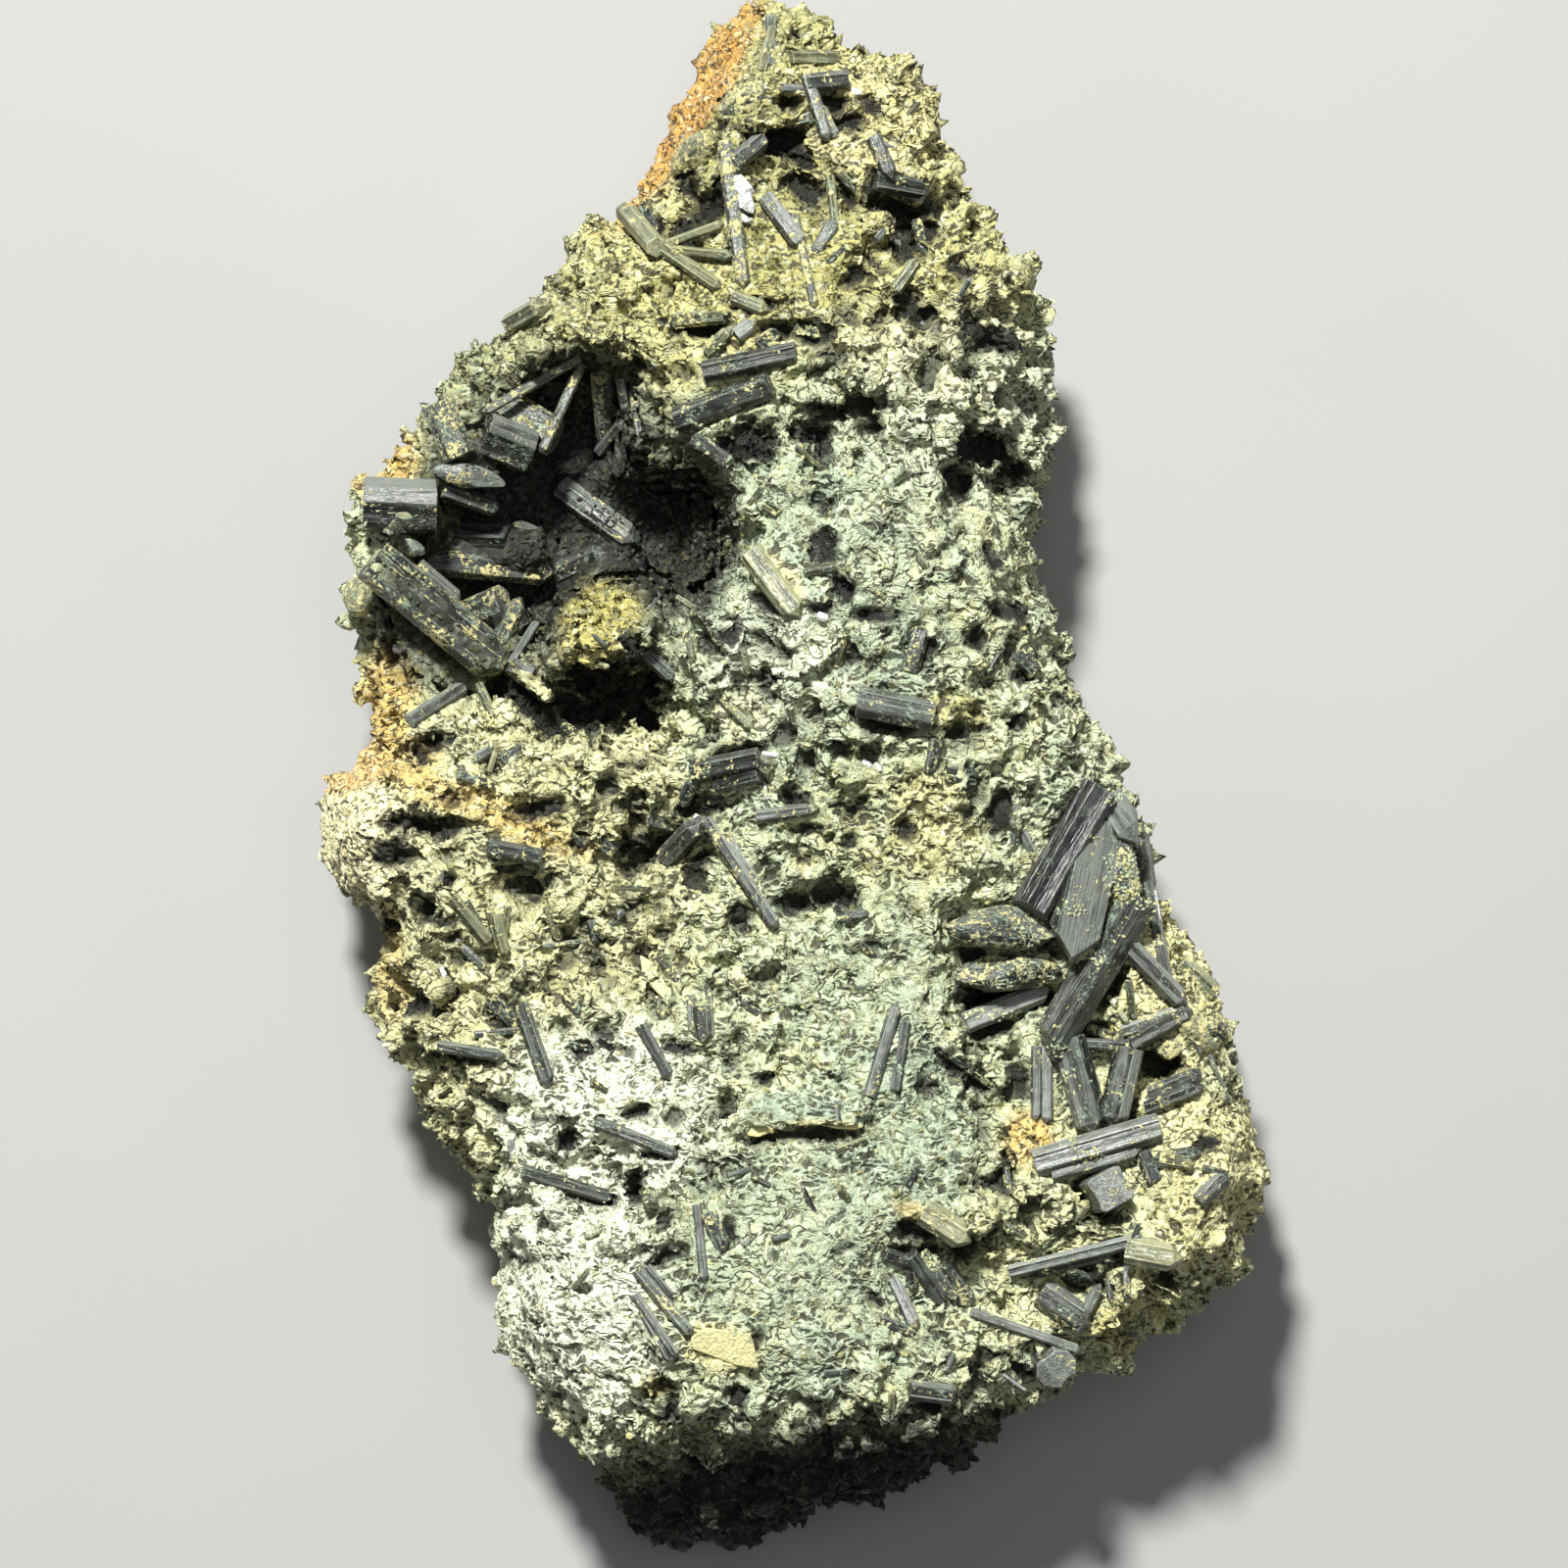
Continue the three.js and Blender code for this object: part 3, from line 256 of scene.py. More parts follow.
# Small crystals that are one with the rock, by finish.
SMALL_CRYSTALS = {
    "dark": [
        grown((-8.8, 33, 35.4), (-5.1, 30.3, 35.2), 1.8, 1.6, tones=(0.1, 0.3, 0.6, 0.4)),
        grown((-15.5, 14.5, 34.6), (-10.4, 10, 33.6), 1.5, 1.3, tones=(0.1, 0.4, 0.7, 0.5)),
        grown((9.5, -44.8, 35.8), (13.5, -46.4, 33.2), 1.4, 1.3, tones=(0.1, 0.4, 0.6, 0.4)),
        grown((12, -45, 34.6), (15.2, -49.8, 32), 1.6, 1.4, tones=(0.1, 0.4, 0.7, 0.4)),
        grown((15.8, -46, 31.4), (17.4, -50.4, 30.8), 1.5, 1.3, tones=(0.1, 0.3, 0.6, 0.4)),
        grown((34.6, -5, 20.2), (35.3, -10.6, 23.8), 1.8, 1.5, tones=(0.2, 0.3, 0.5, 0.4)),
        grown((35.2, -9.6, 23.6), (36.9, -19.4, 29.8), 1.2, 1.1, tones=(0.3, 0.5, 0.8, 0.4)),
        grown((-36, 6, 30.2), (-30.8, 9.5, 25.2), 1.5, 1.3, tones=(0.3, 0.7, 0.9, 0.6)),
        grown((35.3, -29.9, 28.6), (39.9, -27.8, 31), 1.6, 1.4, tones=(0.2, 0.4, 0.7, 0.4)),
        grown((34.8, -31.2, 29.6), (40.2, -29, 31.3), 1.4, 1.2, tones=(0.1, 0.3, 0.6, 0.4)),
        grown((-2.6, -3.1, 35.4), (2.8, -2.4, 36.7), 1.3, 1.1, tones=(0.2, 0.5, 0.8, 0.6)),
        grown((-13.7, -23, 36.2), (-10.9, -28, 36.3), 1.2, 1.1, tones=(0.1, 0.4, 0.8, 0.5)),
        grown((-33.1, -25.1, 33.2), (-26.7, -26, 35), 1.2, 1.1, tones=(0.1, 0.4, 0.7, 0.5)),
        grown((-18, -32.2, 36.8), (-10.1, -35.3, 37.8), 1.2, 1.1, tones=(0.1, 0.3, 0.6, 0.5)),
        grown((-25, -37, 34.5), (-16.4, -39.7, 32.8), 1.4, 1.2, tones=(0.1, 0.3, 0.5, 0.4)),
        grown((-7.9, -21.2, 36), (-7.7, -24.8, 36.4), 1.6, 1.4, tones=(0.1, 0.4, 0.7, 0.5)),
        grown((8.6, 62, 32.3), (10.4, 57.8, 33.4), 1.6, 1.5, tones=(0.1, 0.3, 0.6, 0.4)),
        grown((8.8, 57.8, 32.6), (14, 57, 30.8), 2, 1.7, tones=(0.1, 0.3, 0.5, 0.4)),
        grown((36, -36.2, 32), (39.6, -35.4, 34), 1.8, 1.6, tones=(0.2, 0.4, 0.6, 0.4)),
        grown((39.6, -39.9, 34.9), (42.5, -37.2, 34), 1.7, 1.4, tones=(0.1, 0.4, 0.7, 0.4)),
    ],
    "grey": [
        grown((24.3, -25.2, 29.7), (24.2, -32.4, 30.2), 1.1, 1.3, tones=(0.3, 0.6, 0.8, 0.5)),
        grown((25.2, -25.2, 29.6), (25.2, -32.6, 30), 1.3, 1.3, tones=(0.3, 0.7, 0.9, 0.5)),
        grown((8.2, -29.8, 36), (10.8, -20.8, 35.9), 1.4, 1.2, tones=(0.3, 0.5, 0.7, 0.5)),
        grown((10.6, -29.2, 35.8), (11.7, -22.2, 35.8), 1.1, 1, tones=(0.2, 0.5, 0.6, 0.5)),
        grown((-8.3, -40, 38.8), (-7.6, -47.2, 39.5), 0.9, 0.9, tones=(0.2, 0.6, 0.8, 0.5)),
        grown((-4.5, 42.8, 37.6), (-2.8, 44, 37.9), 1.5, 1, tones=(0.7, 0.95, 1, 0.9)),
        grown((10.4, -47.4, 33.6), (12.6, -52, 35.6), 1.4, 1.2, tones=(0.2, 0.5, 0.8, 0.5)),
        grown((3, 50.8, 35.8), (5.1, 53.7, 35.6), 1.2, 1.1, tones=(0.3, 0.6, 0.8, 0.6)),
        grown((17.9, -50.7, 31.5), (28.5, -54.5, 29), 1, 1, tones=(0.3, 0.7, 0.9, 0.6)),
    ],
    "olive": [
        grown((13.4, -40.8, 35.8), (17.8, -43.7, 36.4), 2.8, 1.4, tones=(0.4, 0.7, 0.9, 0.8)),
        grown((32.8, -44.5, 33), (38.2, -45.5, 34), 2.9, 2, tones=(0.5, 0.8, 1, 0.9)),
        grown((-3.2, 22.1, 39), (1.5, 15.8, 40.8), 2.6, 1.6, tones=(0.4, 0.7, 0.9, 0.8)),
        grown((0.6, 70, 27.2), (5.6, 70.2, 24.8), 1.6, 1.5, tones=(0.2, 0.5, 0.7, 0.5)),
        grown((-2.1, 68.6, 27.6), (-1, 73.4, 25.2), 1.1, 1.1, tones=(0.4, 0.6, 0.9, 0.6)),
        grown((-10.6, 59, 23), (-6.6, 62.6, 29.2), 3.6, 3, form="lens",
              tones=(0.3, 0.5, 0.7, 0.6)),
        grown((-6.2, 64.8, 27.4), (-1.9, 67, 29.6), 3, 2.6, form="lens",
              tones=(0.3, 0.5, 0.7, 0.6)),
        grown((-4.9, 46.5, 36.6), (-1.5, 45.1, 37.6), 1.5, 1.3, tones=(0.3, 0.6, 0.8, 0.6)),
        grown((38, -22.6, 31), (42, -25.4, 27.6), 3.2, 2, form="lens",
              tones=(0.5, 0.8, 0.9, 0.8)),
        grown((-27.5, -12.4, 35.2), (-26.6, -16.4, 34.8), 1.1, 1, tones=(0.3, 0.6, 0.9, 0.6)),
        grown((-31.6, -10.8, 35.4), (-28, -15.3, 35), 1.2, 1.1, tones=(0.2, 0.6, 0.9, 0.6)),
        grown((10.6, 47, 37.4), (12.8, 50.2, 36.8), 1.3, 1.2, tones=(0.3, 0.6, 0.8, 0.6)),
        grown((-26.6, 44.6, 22), (-23.2, 46.2, 27), 2, 1.8, tones=(0.2, 0.5, 0.8, 0.6)),
        grown((-7.4, 41.1, 36.8), (-5, 43.4, 37.4), 1.3, 1.2, tones=(0.3, 0.6, 0.8, 0.6)),
        grown((-41.4, 16.2, 22.6), (-41, 20.2, 23.2), 3.4, 4, form="lens",
              tones=(0.6, 0.8, 0.9, 0.8)),
    ],
}

# Crystals that lie on the rock, by finish.
LYING_CRYSTALS = {
    "dark": [
        lying(12.7, 54, 13.5, 50.8, 1.1, 1, 0.4),
        lying(-13.6, 56, -12, 52.4, 1.4, 1.2, 0.35),
        lying(-2.6, 41.6, -0.4, 43.2, 1.7, 1.4, 0.35),
        lying(0.9, 43.6, 3.8, 42.8, 1.2, 1, 0.3),
        lying(13.9, 1.2, 14.6, 4.4, 1.5, 1.3, 0.5, tip="flat"),
        lying(15.5, 1.4, 18.6, 0.9, 0.8, 0.7, 0.45),
        lying(15.4, 0.5, 18.4, 0.1, 0.7, 0.6, 0.35),
        lying(11.9, 10.6, 13.2, 15.2, 1.9, 1.5, 0.4),
        lying(22.4, 12.6, 24.2, 10.6, 1.8, 1.5, 0.45, tip="flat"),
        lying(-9.8, -1.8, -8.6, 0.6, 1.5, 1.3, 0.4),
        lying(-8.6, -1.9, -4.6, -1.2, 0.9, 0.8, 0.35),
        lying(-18.4, -4.8, -16.4, -6.6, 1.7, 1.4, 0.5, tip="flat"),
        lying(-21, -4.6, -19, -6, 0.9, 0.8, 0.3),
        lying(-12.9, -3.4, -10.3, -4.2, 1.5, 1.2, 0.55),
        lying(-31.2, 1, -27.6, -0.2, 1.1, 1, 0.45),
        lying(-27, 2.2, -24.8, 3.6, 1.3, 1.1, 0.4, tip="flat"),
        lying(-30.4, -11.2, -28.9, -13.6, 0.8, 0.7, 0.5),
        lying(-31.5, -15, -28.6, -17.8, 1, 0.9, 0.7),
        lying(-28, -20.6, -25.4, -23.4, 2, 1.2, 0.4),
        lying(-20.9, -20, -19.4, -22, 1.2, 1, 0.35),
        lying(-20.6, -24.8, -18.2, -25.4, 0.8, 0.7, 0.4),
        lying(-7.3, -40.8, -5.6, -44.6, 1.8, 1.2, 0.55),
        lying(5, -12.9, 8.2, -12.3, 0.9, 0.8, 0.5),
        lying(5, -11.8, 6.5, -13.2, 1, 0.9, 0.4),
        lying(7.2, -15.2, 8.8, -16.6, 1, 0.9, 0.7),
        lying(13.4, -24.2, 20.7, -29.6, 0.7, 0.7, 0.25),
        lying(21.3, -36.6, 21.6, -39.6, 0.8, 0.7, 0.3),
        lying(11.8, -45.2, 12.4, -48.6, 1.2, 1, 0.45),
        lying(13.2, -44.9, 16.6, -49.6, 1.3, 1.1, 0.55),
        lying(15.2, -45.8, 18, -50.2, 1.8, 1.2, 0.3),
        lying(26.2, -46.6, 30, -48.4, 1.6, 1.3, 0.25),
        lying(29.2, -53.6, 29.9, -48, 1.6, 1.3, 0.45),
        lying(31.2, -46, 31.5, -50, 0.9, 0.8, 0.7),
        lying(32.7, -45.8, 32.9, -49.4, 0.9, 0.8, 0.75),
        lying(40, -36.7, 42.4, -37.3, 0.7, 0.7, 0.3),
        lying(34.5, -34.9, 35.6, -38.4, 1.9, 1.4, 0.25, tip="flat"),
        lying(9, -51, 12.6, -52.6, 1.1, 0.9, 0.5),
        lying(-21.2, 5.6, -18.6, 3.8, 1, 0.9, 0.25),
        lying(29.4, -23.6, 34.6, -25.1, 1.1, 1, 0.3),
        lying(35.2, -24.9, 38.4, -25.3, 3, 1.6, 0.35, form="lens"),
        lying(39.8, -23.3, 42.6, -23.6, 2.4, 1.4, 0.35, form="lens"),
        lying(31.2, -1.6, 33.6, -2.2, 1.8, 1.2, 0.5, form="lens"),
    ],
    "grey": [
        lying(3.4, 65.1, 4.9, 62.1, 1.3, 1, 0.8),
        lying(-0.2, 67, 4.6, 66.8, 0.9, 0.8, 0.7, tip="flat"),
        lying(0.4, 63.8, 2.6, 64.2, 1.2, 1, 0.9, tip="flat"),
        lying(-1.3, 74.4, -1.2, 69.2, 1.1, 0.9, 0.6, tip="flat"),
        lying(3.1, 50.9, 4.8, 54.1, 1.2, 1, 0.8),
        lying(8.8, 52, 10.6, 54.1, 0.9, 0.8, 0.9),
        lying(10.9, 52.3, 10.9, 50.3, 0.8, 0.7, 1),
        lying(9.7, 57.8, 13.3, 56.4, 2.2, 1.6, 0.9, tip="flat"),
        lying(-15.9, 39.3, -15.2, 35.2, 0.9, 0.7, 0.9),
        lying(-14.7, 38.8, -13.9, 33.2, 0.9, 0.8, 0.6),
        lying(-7.6, 32.9, -5.2, 30.4, 1, 0.9, 0.6),
        lying(-31, 1.5, -28, 3.4, 1.1, 0.9, 0.9),
        lying(-29.6, -24, -25, -23.6, 0.8, 0.7, 0.6),
        lying(-25.6, -15.8, -19.4, -15.1, 0.5, 0.5, 1),
        lying(-17.7, -14.7, -15.3, -12, 0.9, 0.8, 0.6),
        lying(-18.5, -13, -18, -15.3, 1, 0.9, 0.45),
        lying(-7.2, -19.8, -6.9, -24.3, 0.7, 0.7, 0.7),
        lying(-9, -20.2, -8.6, -24, 1.1, 0.8, 0.4),
        lying(-8.3, -40.2, -7.9, -47, 0.5, 0.5, 0.9),
        lying(22.2, -1.8, 21.8, -6.2, 0.5, 0.5, 1),
        lying(22.8, -4.6, 24.4, -7.9, 0.9, 0.7, 0.8),
        lying(38.9, -22.6, 40.1, -26, 0.5, 0.5, 1),
        lying(40.9, -26, 43.1, -30.8, 0.5, 0.5, 0.8),
        lying(-5.3, -5.1, -2.5, -9.6, 0.9, 0.8, 1),
        lying(-4, -43.9, -3, -43.2, 0.7, 0.6, 0.9),
        lying(32.6, -23.9, 38.2, -21.8, 1.4, 1.1, 0.85),
        lying(-13.4, -50, -10.5, -55.1, 1.4, 1, 0.7),
        lying(-5.4, 64.6, -2.2, 66.4, 2.6, 1.6, 0.55, form="lens"),
        lying(30.4, -4.6, 33.8, -3.6, 2.6, 1.6, 0.85, tip="flat"),
        lying(25.2, -51.8, 28.4, -50.2, 3.2, 1.8, 0.55, form="lens"),
        lying(-3.9, 43.2, -3.2, 43.9, 1.5, 0.8, 1, tip="flat"),
        lying(-4.1, -20.8, -2.2, -22, 0.8, 0.7, 0.6),
    ],
    "olive": [
        lying(5, 59, 8, 55.8, 1, 0.9, 0.6),
        lying(4.4, 58.2, 4.9, 53, 0.9, 0.8, 0.9),
        lying(-12, 44.2, -5.6, 44.7, 1.6, 1.3, 0.55, tip="flat"),
        lying(-7.2, 40.2, -4.6, 43.8, 1.1, 1, 0.9),
        lying(-10.3, 18, -8.4, 16.8, 0.6, 0.5, 1),
        lying(-9.1, 14.4, -8.7, 11.5, 1.4, 1.2, 0.6),
        lying(12.6, 21.8, 13.7, 20.3, 0.6, 0.5, 1),
        lying(8.2, 18.6, 9.7, 17.5, 0.5, 0.5, 1),
        lying(5, 11.2, 6, 14.6, 0.9, 0.8, 0.5),
        lying(-5.9, 8.1, -3, 5.3, 0.9, 0.8, 0.9),
        lying(1.9, 20, 5, 20.6, 0.9, 0.8, 0.4),
        lying(-3.3, 2.5, -0.9, 1.2, 2, 1.5, 0.5, tip="flat"),
        lying(-2.6, -3.3, 3.4, -2.3, 1.1, 1, 0.9),
        lying(-28.2, -11.9, -27.2, -15.9, 0.9, 0.8, 0.7),
        lying(-26.4, -11.7, -26.9, -15.3, 0.8, 0.7, 0.8),
        lying(-22.6, -11.8, -21.5, -15.1, 1.1, 1, 0.6),
        lying(-12.6, -16.2, -9.6, -19, 1.4, 0.8, 0.35),
        lying(-12.2, -20.4, -11.6, -22.6, 0.8, 0.7, 0.6),
        lying(-29.4, 9.6, -27.6, 6.1, 0.9, 0.8, 0.7),
        lying(-13.5, -38.6, -12.2, -39.9, 1, 0.7, 0.4),
        lying(36.2, -35.8, 39.1, -36.2, 1.7, 1.2, 0.7, tip="flat"),
        lying(24.6, -44.6, 28.3, -41.6, 0.8, 0.7, 0.7),
        lying(24.4, -44.5, 21.2, -41.9, 0.8, 0.7, 0.6),
        lying(24.5, -44.3, 23.2, -41.2, 0.7, 0.6, 0.8),
        lying(32.3, -52.6, 36, -51.2, 3.6, 1.6, 1, form="lens"),
        lying(16.2, -15.9, 17, -18.4, 1, 0.8, 0.6),
        lying(38.2, -17.4, 41.6, -20.6, 2.6, 1.4, 1, tip="flat"),
        lying(5, -35, 8, -34, 1, 0.8, 0.6),
        lying(-4, 13, -3.4, 10.4, 0.8, 0.7, 0.7),
        lying(33.2, -18.9, 33.7, -22.8, 0.9, 0.8, 0.4),
        lying(31.2, -20.5, 33.1, -23, 0.7, 0.6, 0.9),
    ],
    "white": [
        lying(-37.8, 13.2, -36, 12.9, 1, 0.9, 1, tip="flat"),
        lying(-8.7, -3.1, -7.8, -3.7, 0.9, 0.7, 1, roll=35),
        lying(-2, 2.9, -0.5, 2.7, 0.6, 0.5, 1, roll=35),
        lying(-1.9, -0.2, -1.6, -1.6, 0.5, 0.5, 1, roll=35),
        lying(7.5, 2.1, 8.4, 1.6, 0.8, 0.6, 1, roll=35),
        lying(8.6, 1.8, 9.4, 1.2, 0.9, 0.6, 1, roll=35),
        lying(3.3, 16, 4.3, 15.6, 0.9, 0.7, 1, roll=35),
        lying(28.3, 3.4, 29.3, 2.8, 0.9, 0.7, 1, roll=35),
        lying(-10.9, -44, -9.8, -44.4, 1, 0.8, 1, roll=35),
        lying(6.6, 66.9, 7.4, 66.5, 0.6, 0.5, 1, roll=35),
        lying(-3.9, 54.1, -2.9, 54, 0.5, 0.4, 1, roll=35),
        lying(35.8, -10.4, 36.9, -18.4, 0.6, 0.6, 1),
        lying(-32.8, -17.6, -32.5, -18.6, 0.6, 0.5, 1, roll=35),
    ],
}

# Flat plates on the rock: outline, thickness, and how far the first and the last end stand
# out along the slope from the upper edge to the lower.
PLATES = [
    (((-4.2, -30.4), (-4.3, -32), (-3.4, -33.6), (-2.4, -33.7), (-1.2, -33.2), (0.3, -32.3),
      (1.4, -32.1), (3.2, -32.5), (5, -32.9), (6.8, -33), (7.6, -32.7), (7.4, -31.6),
      (5, -30.6), (1, -30), (-2, -29.8)), 0.9, 0.1, 0.9),
    (((-8.9, -52.7), (-7.6, -51.7), (-5.4, -52), (-3.2, -52.2), (-2.8, -53.6), (-2.4, -55.7),
      (-4.6, -55.3), (-6.4, -54.6), (-8.6, -53.8)), 0.9, 0.2, 0.3),
    (((33.6, -44.6), (35.2, -43.9), (36.8, -44.3), (38.3, -45.4), (37.2, -46.4),
      (34.8, -46)), 0.9, 0.4, 0.8),
    (((-3.2, 21.2), (-2.2, 22.3), (-0.4, 20.8), (1.9, 17.4), (0.9, 16), (-0.9, 17.6),
      (-2.8, 19.2)), 1.5, 0.5, 0.9),
    (((-13.8, -16.4), (-12.5, -17.1), (-11.2, -19.3), (-10, -19.8), (-11.4, -20.7),
      (-12.7, -19.4), (-13.6, -17.8)), 0.8, 0.4, 0.7),
    (((10.8, -40.2), (12.2, -40), (14.8, -41.2), (17.2, -42.6), (16.4, -43.2),
      (14.4, -42.4), (12, -41.4)), 0.8, 0.3, 0.8),
]

